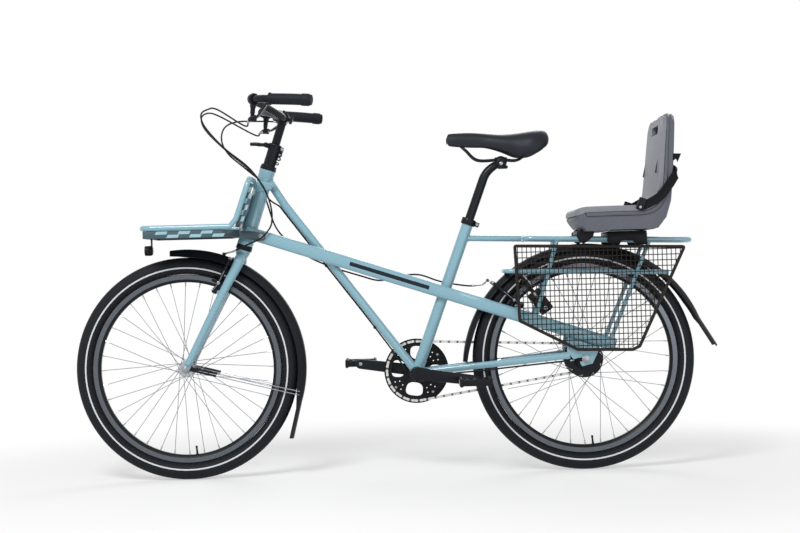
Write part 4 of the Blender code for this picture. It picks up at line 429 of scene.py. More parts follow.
def plate(outline, offset, edge=0.0006, segments=2):
    """Flat outline cut from sheet, with a thickness and softened edges."""
    bpy.ops.object.select_all(action="DESELECT")
    bpy.ops.mesh.primitive_circle_add(vertices=len(outline), radius=1, fill_type="NGON")
    thing = bpy.context.object
    for vertex, spot in zip(thing.data.vertices, outline):
        vertex.co = spot
    bpy.ops.object.mode_set(mode="EDIT")
    bpy.ops.mesh.select_all(action="SELECT")
    bpy.ops.mesh.extrude_region_move(TRANSFORM_OT_translate={"value": offset})
    bpy.ops.mesh.select_all(action="SELECT")
    bpy.ops.mesh.normals_make_consistent(inside=False)
    bpy.ops.object.mode_set(mode="OBJECT")
    return soften(thing, edge, segments) if edge else thing


def block(centre, size, along=Vector((1, 0, 0)), up=Vector((0, 0, 1)), edge=0.001, segments=2):
    """Block with softened edges, whose length lies on along and height on up."""
    turn = Matrix((along, up.cross(along), up)).transposed()
    bpy.ops.object.select_all(action="DESELECT")
    bpy.ops.mesh.primitive_cube_add(size=1, location=centre, rotation=turn.to_euler(), scale=size)
    thing = bpy.context.object
    bpy.ops.object.transform_apply(location=True, rotation=True, scale=True)
    return soften(thing, edge, segments)


def rod(start, end, radius, edge=0.0004, vertices=28):
    """Straight round bar with softened ends."""
    run = end - start
    bpy.ops.object.select_all(action="DESELECT")
    bpy.ops.mesh.primitive_cylinder_add(vertices=vertices, radius=radius, depth=run.length,
        location=(start + end) / 2, rotation=run.to_track_quat("Z", "Y").to_euler())
    thing = bpy.context.object
    bpy.ops.object.transform_apply(location=True, rotation=True, scale=True)
    return soften(thing, edge) if edge else thing


def circle_points(centre, radius, angles):
    """Points on a circle in the bike's own plane."""
    return [centre + ray(math.radians(angle)) * radius for angle in angles]


for word, hand in sides:
    line = rounded([bracket + Vector((0, hand * 0.024, 0)), bracket + Vector((0.11, hand * 0.0375, 0.01)),
        bracket + Vector((0.17, hand * 0.044, 0.0157)), rear_axle + Vector((-0.046, hand * 0.0675, 0.013))],
        0.15, 5)
    ax, az = rear_axle.x, rear_axle.z
    under = 0.0203
    outline = [Vector((ax - 0.05, 0, at(0, 0, twin_z(1.127)).z - under)),
        Vector((ax - 0.055, 0, az + 0.025)), Vector((ax - 0.036, 0, az + 0.001)),
        Vector((ax - 0.02, 0, az + 0.0055)), *circle_points(rear_axle, 0.0055, (90, 60, 30, 0, -30, -60,
        -90)), Vector((ax - 0.017, 0, az - 0.0055)), Vector((ax - 0.017, 0, az - 0.01)),
        Vector((ax - 0.012, 0, az - 0.02)), Vector((ax + 0.019, 0, az - 0.013)),
        Vector((ax + 0.037, 0, az + 0.023)), Vector((ax + 0.037, 0, twin_z(1.214) - under))]
    outline = [spot + across * hand * 0.0678 for spot in outline]
    settle(joined([
        tube(line, 0.008, oval=1.25),
        plate(outline, across * hand * 0.006, 0.0009),
        weld(bracket, across, 0.02, line[1] + (line[2] - line[1]) * 0.4, (line[0] - line[1]).normalized(),
            0.0085),
    ]), f"chainstay_{word}_steel", "frame", frame_blue, [f"chainstay_{word}"])

# Seat clamp: a black alloy collar split at the back, slid over the seat tube's open end.
# One bright socket bolt draws its lugs together and grips the post.

polished = surface("bright_alloy", shade(176, 178, 182), 0.24, metallic=1.0, mottle=0.04, scale=120,
    grain=2500, relief=0.00001)
steel = surface("zinc_steel", shade(146, 149, 153), 0.34, metallic=1.0, mottle=0.1, scale=260, grain=2200,
    relief=0.00002)
satin_black = surface("satin_black_alloy", shade(19, 22, 28), 0.26, mottle=0.08, scale=150, grain=2000,
    relief=0.00002, worn=0.06, gloss=0.16)
collar = turned([(-0.019, 0.0173), (-0.019, 0.0205), (-0.017, 0.0215), (-0.002, 0.0215), (0, 0.0205),
    (0, 0.0173)], on_seat(seat_length), seat_up, 48)
lugs = [block(on_seat(seat_length - 0.0095, 0.0265, hand * 0.0052), (0.013, 0.0064, 0.014), seat_back,
    seat_up, 0.0015) for word, hand in sides]
bolt_place = on_seat(seat_length - 0.0095, 0.0265)
settle(joined([collar, *lugs]), "seat_clamp_collar", "frame", satin_black, ["seat_clamp"])
settle(joined([
    rod(bolt_place - across * 0.0135, bolt_place - across * 0.0083, 0.0042),
    rod(bolt_place + across * 0.0083, bolt_place + across * 0.0125, 0.0046, vertices=6),
    rod(bolt_place - across * 0.004, bolt_place + across * 0.004, 0.0022),
]), "seat_clamp_bolt", "frame", steel)

# Rear rack: a top loop of round tube on a neck from the seat tube, with two cross tubes, all in frame colour.
# Under it a lower rail loop for pannier hooks, and four stays down to the side tubes.


def rack_z(x):
    """Height of the rack's top loop."""
    return 0.6945 - 0.0335 * (x - 0.841)


def lower_rail_z(x):
    """Height of the lower rails."""
    return 0.595 - 0.0324 * (x - 0.93)


def twin_side_at(x):
    """Distance of the side tubes from the bike's middle plane."""
    for (x0, side0), (x1, side1) in zip(twin_stations, twin_stations[1:]):
        if x <= x1:
            break
    return side0 + (side1 - side0) * (x - x0) / (x1 - x0)


rack_side = 0.062
rack_nose = 1.005
rack_tail = 1.495
rack_up = Vector((0.0335, 0, 1)).normalized()
rack_run = Vector((rack_up.z, 0, -rack_up.x))
loop = rounded([at(x, y, rack_z(x)) for x, y in ((rack_nose, -rack_side), (rack_tail, -rack_side),
    (rack_tail, rack_side), (rack_nose, rack_side))], 0.035, 8, closed=True)
neck_foot = on_seat((rack_z(0.828) - bracket.z) / seat_up.z)
neck_end = at(rack_nose + 0.003, 0, rack_z(rack_nose))
rack_parts = [
    tube(loop, 0.008, closed=True, round_steps=5), tube([neck_foot + Vector((0.012, 0, 0)), neck_end],
        0.009),
    weld(bracket, seat_up, 0.017, neck_end, (neck_foot - neck_end).normalized(), 0.009),
    weld(neck_end, across, 0.008, neck_foot.lerp(neck_end, 0.8), (neck_end - neck_foot).normalized(), 0.009),
]
for x in (1.21, 1.39):
    rack_parts.append(tube([at(x, -rack_side, rack_z(x)), at(x, rack_side, rack_z(x))], 0.005))
    for word, hand in sides:
        rack_parts.append(weld(at(x, hand * rack_side, rack_z(x)), rack_run, 0.008, at(x, 0, rack_z(x)),
            across * hand, 0.005))
settle(joined(rack_parts), "rear_rack_tubes", "frame", frame_blue, ["rear_rack"])
rail_side = 0.069
rails = rounded([at(x, y, lower_rail_z(x)) for x, y in ((1.424, -rail_side), (0.9475, -rail_side),
    (0.9475, rail_side), (1.424, rail_side))], 0.03, 8)
stay_parts = [tube(rails, 0.007, round_steps=5)]
for word, hand in sides:
    stay_parts.append(rod(at(1.4225, hand * rail_side, lower_rail_z(1.4225)), at(1.4265, hand * rail_side,
        lower_rail_z(1.4265)), 0.0078, 0.0015))
    for top_x, foot_x in ((1.102, 1.036), (1.372, 1.2535)):
        top = at(top_x, hand * rack_side, rack_z(top_x) - 0.0065)
        foot = at(foot_x, hand * (twin_side_at(foot_x) + 0.001), twin_z(foot_x) + 0.016)
        run = (foot - top).normalized()
        stay_parts.append(tube([top, foot], 0.006))
        stay_parts.append(weld(at(top_x, hand * rack_side, rack_z(top_x)), rack_run, 0.008, foot, -run,
            0.006))
settle(joined(stay_parts), "rear_rack_stays", "frame", frame_blue, ["rack_stays"])

# Front rack: one bent tube loop that rises against the head tube, where two cheek plates and bolts hold it.
# It is welded and sprayed with the frame, and carries the tray under its sides.

rack_half = 0.145
front_top = on_head(0.19, 0.0313)
front_bend = at(0.1695, 0, 0.766)
corners = [at(-0.105, -rack_half, 0.745), at(0.152, -rack_half, 0.745), Vector((front_bend.x, -rack_half,
    front_bend.z)), Vector((front_top.x, -rack_half, front_top.z)), Vector((front_top.x, rack_half,
    front_top.z)), Vector((front_bend.x, rack_half, front_bend.z)), at(0.152, rack_half, 0.745),
    at(-0.105, rack_half, 0.745)]
front_loop = []
for index, corner in enumerate(corners):
    before, after = corners[index - 1], corners[(index + 1) % len(corners)]
    bend_radius = 0.03 if index in (0, 3, 4, 7) else 0.012
    front_loop += rounded([before, corner, after], bend_radius, 6)[1:-1]
rack_parts = [tube(front_loop, 0.008, closed=True, round_steps=5)]
cheek = [at(0.215, 0, 0.8824), at(0.2773, 0, 0.872), at(0.265, 0, 0.8547), at(0.223, 0, 0.8467),
    at(0.206, 0, 0.866)]
for word, hand in sides:
    rack_parts.append(plate([spot + across * hand * 0.0232 for spot in cheek], across * hand * 0.0033,
        0.001))
    bolt = at(0.2694, hand * 0.0265, 0.8646)
    rack_parts.append(turned([(0, 0), (0, 0.0062), (hand * 0.0009, 0.0064), (hand * 0.0012, 0.0048),
        (hand * 0.0042, 0.0044), (hand * 0.0048, 0.0036), (hand * 0.0048, 0.0022), (hand * 0.003, 0.002),
        (hand * 0.003, 0)], bolt, across, 20))
settle(joined(rack_parts), "front_rack_loop", "frame", frame_blue, ["front_rack_tube"])

# Tray: dark painted sheet folded down at its edges, drawn in to two ears that bolt on to the side tubes.
# Its folds carry a chequered band in the frame's colour, and a panel of the same sheet stands up at its back.

tray_paint = surface("tray_paint", shade(50, 74, 82), 0.38, mottle=0.06, scale=300, grain=1500,
    relief=0.00003, coat=0.25)
patch_paint = surface("tray_patch_paint", shade(140, 178, 190), 0.36, mottle=0.04, scale=500, relief=0.00002,
    coat=0.3)
deck_top = 0.7367
plan = [(-0.101, rack_half), (0.13, rack_half), (0.1677, 0.0431)]
deck = [at(x, -y, deck_top) for x, y in plan] + [at(x, y, deck_top) for x, y in reversed(plan)]
tray_parts = [plate(deck, (0, 0, -0.002), 0.0007)]
for near, far in zip(deck, deck[1:] + deck[:1]):
    if near.x > at(0.16, 0, 0).x and far.x > at(0.16, 0, 0).x:
        continue
    run = (far - near).normalized()
    inward = Vector((-run.y, run.x, 0))
    if inward.dot(at(0.05, 0, deck_top) - near) < 0:
        inward = -inward
    corner_points = [near, far, far + inward * 0.002, near + inward * 0.002]
    tray_parts.append(plate([spot - Vector((0, 0, 0.0003)) for spot in corner_points], (0, 0, -0.0216),
        0.0008))
ear_z = twin_z(0.2327)
for word, hand in sides:
    ear = [at(0.1587, 0, deck_top - 0.0004), at(0.1587, 0, deck_top - 0.0214), at(0.2227, 0, ear_z - 0.014),
        at(0.24, 0, ear_z - 0.012), at(0.2447, 0, ear_z - 0.006), at(0.2447, 0, ear_z + 0.006),
        at(0.24, 0, ear_z + 0.012), at(0.2227, 0, ear_z + 0.014)]
    tray_parts.append(plate([spot + across * hand * 0.0396 for spot in ear], across * hand * 0.003, 0.0008))
rise = front_top - front_bend
rise_up = rise.normalized()
rise_back = Vector((rise_up.z, 0, -rise_up.x))


def on_rise(along, back, side):
    """Place measured up the loop's rising tubes from their foot."""
    return front_bend + rise_up * along + rise_back * back + across * side


panel_top = rise.length - 0.01
panel = [(-0.022, -0.133), (panel_top - 0.034, -0.133), (panel_top - 0.012, -0.124), (panel_top, -0.102),
    (panel_top, -0.03), (panel_top - 0.03, -0.026), (panel_top - 0.03, 0.026), (panel_top, 0.03),
    (panel_top, 0.102), (panel_top - 0.012, 0.124), (panel_top - 0.034, 0.133), (-0.022, 0.133)]
tray_parts.append(plate([on_rise(along, 0.0035, side) for along, side in panel], rise_back * 0.0018, 0.0005))
fold = [(-0.02, 0.003), (-0.006, 0.022), (0.03, 0.0265), (panel_top - 0.05, 0.0235), (panel_top - 0.028,
    0.012), (panel_top - 0.022, 0.003)]
for word, hand in sides:
    tray_parts.append(plate([on_rise(along, back, hand * 0.1335) for along, back in fold],
        across * hand * 0.0018, 0.0005))
settle(joined(tray_parts), "front_tray_sheet", "frame", tray_paint, ["front_rack_tray"])
patches = []
for word, hand in sides:
    for row, first in ((0, -0.066), (1, -0.033)):
        high = deck_top - 0.0015 - row * 0.01
        for step in range(3):
            start = first + step * 0.066
            slant = [at(start + 0.005, 0, high), at(start + 0.038, 0, high), at(start + 0.033, 0,
                high - 0.0092), at(start, 0, high - 0.0092)]
            patches.append(plate([spot + across * hand * (rack_half + 0.00005) for spot in slant],
                across * hand * 0.0002, 0))
    for step in range(6):
        low = -0.004 + step * 0.0175
        back = 0.0055 if step % 2 else 0.013
        slant = [(low, back), (low + 0.0035, back + 0.0085), (low + 0.019, back + 0.0085), (low + 0.0155,
            back)]
        patches.append(plate([on_rise(along, out, hand * 0.13545) for along, out in slant],
            across * hand * 0.0002, 0))
settle(joined(patches), "front_tray_chequer", "frame", patch_paint)
tray_bolts = []
for word, hand in sides:
    spot = at(0.2327, hand * 0.0426, ear_z)
    tray_bolts.append(turned([(0, 0), (0, 0.0072), (hand * 0.001, 0.0074), (hand * 0.0013, 0.0054),
        (hand * 0.0048, 0.005), (hand * 0.0057, 0.0042), (hand * 0.0057, 0.0024), (hand * 0.0036, 0.0022),
        (hand * 0.0036, 0)], spot, across, 20))
settle(joined(tray_bolts), "front_tray_bolts", "frame", steel)

# Front lamp: a small round moulded housing on a steel plate, with a bright bowl behind a clear ribbed lens.

gloss_black = surface("moulded_black", shade(22, 23, 27), 0.38, mottle=0.12, scale=220, grain=1400,
    relief=0.00004, worn=0.06, gloss=0.12)
lamp_front = at(-0.1175, 0, 0.682)
ahead = Vector((-1, 0, 0))
lamp_body = turned([(-0.0005, 0.0128), (0.0, 0.0143), (-0.004, 0.0148), (-0.016, 0.0148), (-0.02, 0.014),
    (-0.0235, 0.0105), (-0.024, 0.006), (-0.024, 0), (-0.0205, 0), (-0.019, 0.0115), (-0.003, 0.0128)],
    lamp_front, ahead, 40)
lamp_parts = [lamp_body, block(at(-0.0972, 0, 0.7098), (0.003, 0.02, 0.045), edge=0.0008)]
for number in range(4):
    lamp_parts.append(turned([(-0.0175 + number * 0.0028, 0.0146), (-0.0168 + number * 0.0028, 0.0153),
        (-0.016 + number * 0.0028, 0.0146)], lamp_front, ahead, 40))
settle(joined(lamp_parts), "front_lamp_housing", "frame", gloss_black, ["front_lamp"])
settle(turned([(-0.0035, 0.0126), (-0.015, 0.007), (-0.016, 0), (-0.0165, 0), (-0.0158, 0.0074),
    (-0.004, 0.0128)], lamp_front, ahead, 40), "front_lamp_bowl", "frame", polished)
lens = surface("clear_lens", (0.92, 0.95, 0.97), 0.05, mottle=0.01, grain=300, relief=0.0001)
lens.node_tree.nodes["Principled BSDF"].inputs["Transmission Weight"].default_value = 0.9
settle(turned([(-0.0012, 0), (-0.0012, 0.0125), (-0.0026, 0.0126), (-0.0026, 0)], lamp_front, ahead, 40),
    "front_lamp_lens", "frame", lens)

# Headset: turned black cups pressed into the head tube's ends, with ball races inside.
# Only the lower cup with its crown race is a piece of its own; the upper one is under the stem sleeve.

dark_alloy = surface("black_alloy", shade(21, 23, 28), 0.32, mottle=0.1, scale=180, grain=2200,
    relief=0.00002, worn=0.06, gloss=0.15)
settle(turned([(-0.0153, 0.0147), (-0.0153, 0.0236), (-0.014, 0.0245), (-0.0098, 0.0245), (-0.009, 0.0238),
    (-0.008, 0.0243), (-0.004, 0.024), (-0.0003, 0.0233), (-0.0003, 0.0147)], on_head(0), head_up, 56),
    "headset_lower_cup", "frame", dark_alloy, ["headset_lower"])

# Fork: unicrown steel fork with tapered blades bent from a short crown, forged ends and a hollow steerer.
# Brake studs stand on the front of the blades.

blade_start = on_head(-0.045)
blade_up = (blade_start - front_axle).normalized()
blade_front = Vector((-blade_up.z, 0, blade_up.x))
fork_parts = [
    turned([(-0.01, 0.0129), (-0.01, 0.0143), (0.3127, 0.0143), (0.3127, 0.013)], on_head(0), head_up, 40),
    turned([(-0.0157, 0), (-0.0157, 0.0222), (-0.019, 0.0225), (-0.03, 0.0195), (-0.039, 0.0155),
        (-0.042, 0.011), (-0.042, 0)], on_head(0), head_up, 48),
]
for word, hand in sides:
    line = smooth([on_head(-0.031, 0, hand * 0.012), on_head(-0.037, 0, hand * 0.033), on_head(-0.049, 0,
        hand * 0.0465), on_head(-0.068, 0.0005, hand * 0.048), blade_start.lerp(front_axle, 0.35)
        + across * hand * 0.049, front_axle + blade_up * 0.016 + across * hand * 0.0533], 8)
    radii = []
    for number in range(len(line)):
        share = number / (len(line) - 1)
        radii.append(0.011 + 0.004 * min(1, share / 0.35) if share < 0.6 else 0.015 - 0.005 * (share
            - 0.6) / 0.4)
    fork_parts.append(tube(line, radii, round_steps=7))
    ring = [front_axle + across * hand * 0.0503 + blade_up * 0.011 * math.sin(turn)
        + blade_front * 0.011 * math.cos(turn) for turn in (math.pi * step / 9 for step in range(9, 19))]
    fork_parts.append(plate([*ring, ring[-1] + blade_up * 0.026, ring[0] + blade_up * 0.026],
        across * hand * 0.006, 0.0012))
    stud = front_axle + blade_up * 0.2465 + across * hand * 0.044
    fork_parts.append(tube([stud + blade_front * 0.008, stud + blade_front * 0.0165], 0.0068))
    fork_parts.append(tube([stud + blade_front * 0.0165, stud + blade_front * 0.033], 0.0043))
    fork_parts.append(turned([(0.0313, 0), (0.0313, 0.006), (0.0343, 0.0055), (0.0347, 0.0028), (0.0335, 0)],
        stud, blade_front, 20))
settle(joined(fork_parts), "fork_steel", "fork", frame_blue, ["fork"])

# Front axle: a threaded zinc-plated steel axle, held by a hex nut and a washer outside each fork end.
# Cone locknuts inside them set the bearings.


def axle_end(axle, hand, start, nut_radius, nut_length):
    """Washer, hex nut and thread end on one end of an axle."""
    face = axle + across * hand * start
    return [
        rod(face + across * hand * 0.0001, face + across * hand * 0.0013, nut_radius * 1.22, 0.0003, 32),
        rod(face + across * hand * 0.0013, face + across * hand * nut_length, nut_radius * 1.06, 0.001, 6),
        rod(face + across * hand * (nut_length - 0.001), face + across * hand * (nut_length + 0.0038),
            0.0049, 0.0009, 24),
    ]


settle(joined([
    rod(front_axle - across * 0.0575, front_axle + across * 0.0575, 0.0048, 0),
    *[part for word, hand in sides for part in axle_end(front_axle, hand, 0.0566, 0.0085, 0.008)],
    *[turned([(hand * 0.0462, 0.0049), (hand * 0.0462, 0.0085), (hand * 0.0498, 0.0085), (hand * 0.0498,
        0.0049)], front_axle, across, 24) for word, hand in sides],
]), "front_axle_steel", "fork", steel, ["front_axle"])

# Height-adjustable stem: a black alloy sleeve clamped on the steerer, with eyes and bolts down its back,
# and a quick-release lever at its front that lets the inner post slide.



def round_band(half, flat, inner, edge, outer):
    """Outline of a round band: half lengths at its ends and of its flat top, and its three radii."""
    return [(-half, inner), (-half, edge), (-flat, outer), (flat, outer), (half, edge), (half, inner)]


sleeve_top = 0.313
sleeve_parts = [turned([
    (0.2323, 0.0146), (0.2323, 0.0238), (0.2335, 0.0245), (0.24, 0.0243), (0.2408, 0.0234), (0.242, 0.0238),
    (0.2465, 0.0228), (0.248, 0.0196), (0.249, 0.0182), (0.26, 0.018), (0.261, 0.0188), (0.264, 0.0188),
    (0.265, 0.018), (0.306, 0.018), (0.307, 0.019), (0.312, 0.019), (sleeve_top, 0.0184),
    (sleeve_top, 0.0146),
], on_head(0), head_up, 56)]
for along in (0.286, 0.274):
    sleeve_parts.append(turned(round_band(0.01, 0.009, 0.003, 0.0056, 0.0062), on_head(along, -0.0218),
        across, 28))
sleeve_parts.append(turned([(-0.008, 0.0024), (-0.008, 0.005), (0.008, 0.005), (0.008, 0.0024)],
    on_head(0.259, -0.0215), across, 28))
sleeve_parts.append(block(on_head(0.299, -0.0215), (0.012, 0.012, 0.022), head_forward, head_up, 0.0022))
sleeve_parts.append(block(on_head(0.303, 0.022), (0.012, 0.01, 0.015), head_forward, head_up, 0.0022))
sleeve_parts.append(rod(on_head(0.303, 0.0265, -0.013), on_head(0.303, 0.0265, 0.013), 0.0034))
settle(joined(sleeve_parts), "stem_sleeve_alloy", "fork", satin_black, ["stem_sleeve"])
settle(joined([
    rod(on_head(0.303, -0.024, -0.0123), on_head(0.303, -0.024, -0.006), 0.0044),
    rod(on_head(0.303, -0.024, 0.006), on_head(0.303, -0.024, 0.0123), 0.0048, vertices=6),
    turned([(0, 0), (0, 0.003), (0.006, 0.003), (0.0064, 0.0024), (0.0064, 0)], on_head(0.286, -0.0218,
        -0.0126), across, 20),
]), "stem_sleeve_bolts", "fork", steel)
lever_place = Vector(joint["stem_quick_release"]["pos_m"])
lever_out = (head_forward * 0.96 - head_up * 0.24).normalized()
lever_parts = [tube(smooth([lever_place + lever_out * 0.0165, lever_place + lever_out * 0.028
    + head_up * 0.0008, lever_place + lever_out * 0.039 + head_up * 0.0006, lever_place
    + lever_out * 0.0475], 5), [0.0088] * 6 + [0.0084] * 5 + [0.008] * 4 + [0.0066], oval=0.66)]
for word, hand in sides:
    spot = lever_place + across * hand * 0.0085
    lever_parts.append(turned(round_band(0.002, 0.0014, 0.0038, 0.0068, 0.0075), spot, across, 32))
    lever_parts.append(block(spot + lever_out * 0.0115, (0.016, 0.0038, 0.0095), lever_out,
        lever_out.cross(across), 0.0012))
settle(joined(lever_parts), "stem_quick_lever", "stem_lever", satin_black, ["stem_lever"])

# Stem post and handlebar: a polished black post with a clamp eye, and a swept black alloy bar through it.

clamp = on_head(0.394)
half_bar = smooth([clamp + Vector(spot) for spot in (
    (0, 0, 0), (0, 0.03, 0), (-0.02, 0.07, 0.012), (-0.055, 0.13, 0.03), (-0.075, 0.175, 0.036),
    (-0.072, 0.215, 0.036), (-0.045, 0.248, 0.034), (-0.01, 0.263, 0.031), (0.045, 0.278, 0.027),
    (0.097, 0.292, 0.022))], 6)


def other_side(points, hand):
    """Points of the right side, moved to the side that hand names."""
    return [Vector((spot.x, spot.y * hand, spot.z)) for spot in points]


def along_bar(start, end=None, steps=1):
    """Places on the right half of the bar at distances from its middle."""
    lengths = [0.0]
    for before, after in zip(half_bar, half_bar[1:]):
        lengths.append(lengths[-1] + (after - before).length)
    found = []
    for step in range(steps + 1 if end is not None else 1):
        wanted = start + ((end or start) - start) * step / steps
        index = max(i for i, length in enumerate(lengths[:-1]) if length <= wanted or i == 0)
        found.append(half_bar[index].lerp(half_bar[index + 1], (wanted - lengths[index]) / (lengths[index
            + 1] - lengths[index])))
    return found


bar_length = sum((b - a).length for a, b in zip(half_bar, half_bar[1:]))
settle(tube([*reversed(other_side(half_bar, -1)), *half_bar[1:]], 0.011, round_steps=6), "handlebar_tube",
    "bars", satin_black, ["handlebar"])
settle(joined([
    turned([(0.159, 0.0), (0.159, 0.0115), (0.162, 0.0127), (0.374, 0.0127), (0.38, 0.015), (0.38, 0.0)],
        on_head(0), head_up, 40),
    turned(round_band(0.022, 0.0205, 0.0113, 0.016, 0.0172), clamp, across, 40),
    block(clamp - head_forward * 0.0195, (0.018, 0.03, 0.0125), head_forward, head_up, 0.0025),
    rod(clamp - head_forward * 0.0235 + head_up * 0.004, clamp - head_forward * 0.0235 + head_up * 0.0125,
        0.0048),
    rod(clamp - head_forward * 0.0235 - head_up * 0.011, clamp - head_forward * 0.0235 - head_up * 0.004,
        0.0044, vertices=6),
]), "stem_post_alloy", "bars", satin_black, ["stem_post"])

# Grips: ribbed sleeves of soft black rubber pushed on the bar's ends, with an inner flange and a split collar.


def painted(thing, material):
    """Give a part its own finish before it is joined to others."""
    thing.data.materials.append(material)
    return thing


rubber = surface("grip_rubber", shade(27, 29, 35), 0.55, mottle=0.1, scale=260, grain=900, relief=0.00012,
    gloss=0.14)
for word, hand in sides:
    line = along_bar(bar_length - 0.122, bar_length - 0.0003, 60)
    radii = []
    for number in range(61):
        share = number / 60
        size = 0.0158 + 0.0004 * math.sin(share * math.pi)
        if share < 0.04:
            size = 0.018
        elif 0.78 < share < 0.8 or share > 0.97:
            size = 0.0154
        elif share >= 0.8:
            size = 0.0176
        elif number % 3 == 0 and share > 0.08:
            size -= 0.0006
        radii.append(size)
    end_run = (line[-1] - line[-2]).normalized()
    line += [line[-1] + end_run * 0.003, line[-1] + end_run * 0.0042]
    radii += [0.015, 0.012]
    settle(tube(other_side(line, hand), radii, round_steps=7), f"grip_{word}_rubber", "bars", rubber,
        [f"grip_{word}"], 50)

# Brake levers: black alloy clamps on the bar with an arm to the pivot, a bright barrel adjuster where the
# cable leaves, and long two-finger blades whose front edge is worn bright.

mount_at = bar_length - 0.184
blade_root = Vector(joint["brake_lever_right"]["pos_m"])
blade_run = (clamp + Vector((-0.02, 0.303, 0.018)) - blade_root).normalized()
blade_pull = Vector((0, -0.5, 0.87))
blade_pull = (blade_pull - blade_run * blade_pull.dot(blade_run)).normalized()
blade_axis = blade_run.cross(blade_pull)
shifter_place, shifter_ahead = along_bar(bar_length - 0.14, bar_length - 0.134)
shifter_run = (shifter_ahead - shifter_place).normalized()
shift_place = Vector(joint["shift_lever"]["pos_m"])
shifter_drop = (shift_place - shifter_place).normalized()
for word, hand in sides:
    root, ring_place, ring_ahead = other_side([blade_root, *along_bar(mount_at, mount_at + 0.006)], hand)
    run = (ring_ahead - ring_place).normalized()
    out, pull, axis = other_side([blade_run, blade_pull, blade_axis], hand)
    foot = root - axis * 0.0088
    exit_run = (pull * 0.004 - out * 0.03).normalized()
    arm_run = (foot - ring_place).normalized()
    parts = [
        painted(turned(round_band(0.0085, 0.007, 0.0114, 0.0156, 0.0164), ring_place, run, 40), satin_black),
        painted(tube(smooth([ring_place + arm_run * 0.012, ring_place.lerp(foot, 0.55), foot], 5),
            [0.0088] * 4 + [0.007] * 4 + [0.0056] * 3), satin_black),
        painted(turned([(-0.012, 0), (-0.012, 0.0078), (-0.0112, 0.0085), (-0.0048, 0.0085),
            (-0.004, 0.0078), (-0.004, 0)], root, axis, 32), satin_black),
        painted(rod(root - axis * 0.005, root + axis * 0.0047, 0.0027, 0.0006), steel),
        painted(tube(smooth([foot + exit_run * 0.019, foot + exit_run * 0.006, root.lerp(foot, 0.6)
            + out * 0.01, root + out * 0.016], 4), [0.0058, 0.0072, 0.0084, 0.0092, 0.0096, 0.0096, 0.0094,
            0.009, 0.0086, 0.0078, 0.0066, 0.005, 0.0036], oval=0.8), satin_black),
    ]
    for number in range(5):
        parts.append(painted(turned([(0.019 + number * 0.0022, 0), (0.019 + number * 0.0022, 0.004),
            (0.02 + number * 0.0022, 0.0046), (0.021 + number * 0.0022, 0.004), (0.021 + number * 0.0022,
            0)], foot, exit_run, 20), polished))
    side_up = run.cross(arm_run).normalized()
    parts.append(painted(rod(ring_place - arm_run * 0.014 - side_up * 0.006, ring_place - arm_run * 0.014
        + side_up * 0.006, 0.0036), steel))
    if hand > 0:
        # Shifter: a moulded thumb-shift pod beside the right lever, with a small bright gear window.
        parts += [
            painted(turned(round_band(0.011, 0.0095, 0.0114, 0.0164, 0.0173), shifter_place, shifter_run,
                40), gloss_black),
            painted(turned([(0.012, 0), (0.012, 0.015), (0.015, 0.016), (0.022, 0.015), (0.0243, 0.012),
                (0.0243, 0)], shifter_place, shifter_drop, 40), gloss_black),
            painted(rod(shift_place - shifter_drop * 0.006, shift_place + shifter_drop * 0.0042, 0.0028),
                steel),
        ]
        window = shifter_place - shifter_run * 0.002 + Vector((-0.55, -0.3, 0.78)).normalized() * 0.017
        parts.append(painted(block(window, (0.014, 0.009, 0.0022), shifter_run,
            (window - shifter_place).normalized(), 0.0008), polished))
    settle(joined(parts), f"brake_lever_{word}_clamp", "bars", satin_black, [f"lever_mount_{word}"])
    line = smooth([root + out * 0.006, root + out * 0.03 - pull * 0.004, root + out * 0.065 - pull * 0.003,
        root + out * 0.09 - pull * 0.0006, root + out * 0.0985 + pull * 0.0022], 6)
    radii = [0.0044 + 0.0016 * min(1, number / 9) for number in range(len(line) - 3)] + [0.006, 0.0058,
        0.0048]
    edge = [spot + pull * -0.0036 for spot in line[5:-2]]
    settle(joined([
        painted(tube(line, radii, oval=0.66), satin_black),
        painted(tube(edge, 0.0011, round_steps=2), polished),
        painted(turned(round_band(0.0036, 0.003, 0.0032, 0.0072, 0.0077), root, axis, 32), satin_black),
    ]), f"brake_lever_{word}_blade", f"brake_lever_{word}", satin_black, [f"brake_lever_{word}"])
thumb = shifter_run * 0.25 - shifter_run.cross(shifter_drop) * 0.97
settle(joined([
    turned([(-0.0054, 0.0032), (-0.0054, 0.0092), (-0.0045, 0.01), (0.002, 0.01), (0.003, 0.009),
        (0.003, 0.0032)], shift_place, shifter_drop, 32),
    tube(smooth([shift_place - shifter_drop * 0.001 + thumb * 0.006, shift_place + thumb * 0.016
        - shifter_drop * 0.0006, shift_place + thumb * 0.0265 - shifter_drop * 0.0014], 5), [0.0052] * 6
        + [0.006] * 4 + [0.005], oval=0.6),
]), "shift_thumb_lever", "shift_lever", gloss_black, ["shift_lever"])

# Bell: a chromed ring under a black pressed dome, on a plastic band round the bar's right side.

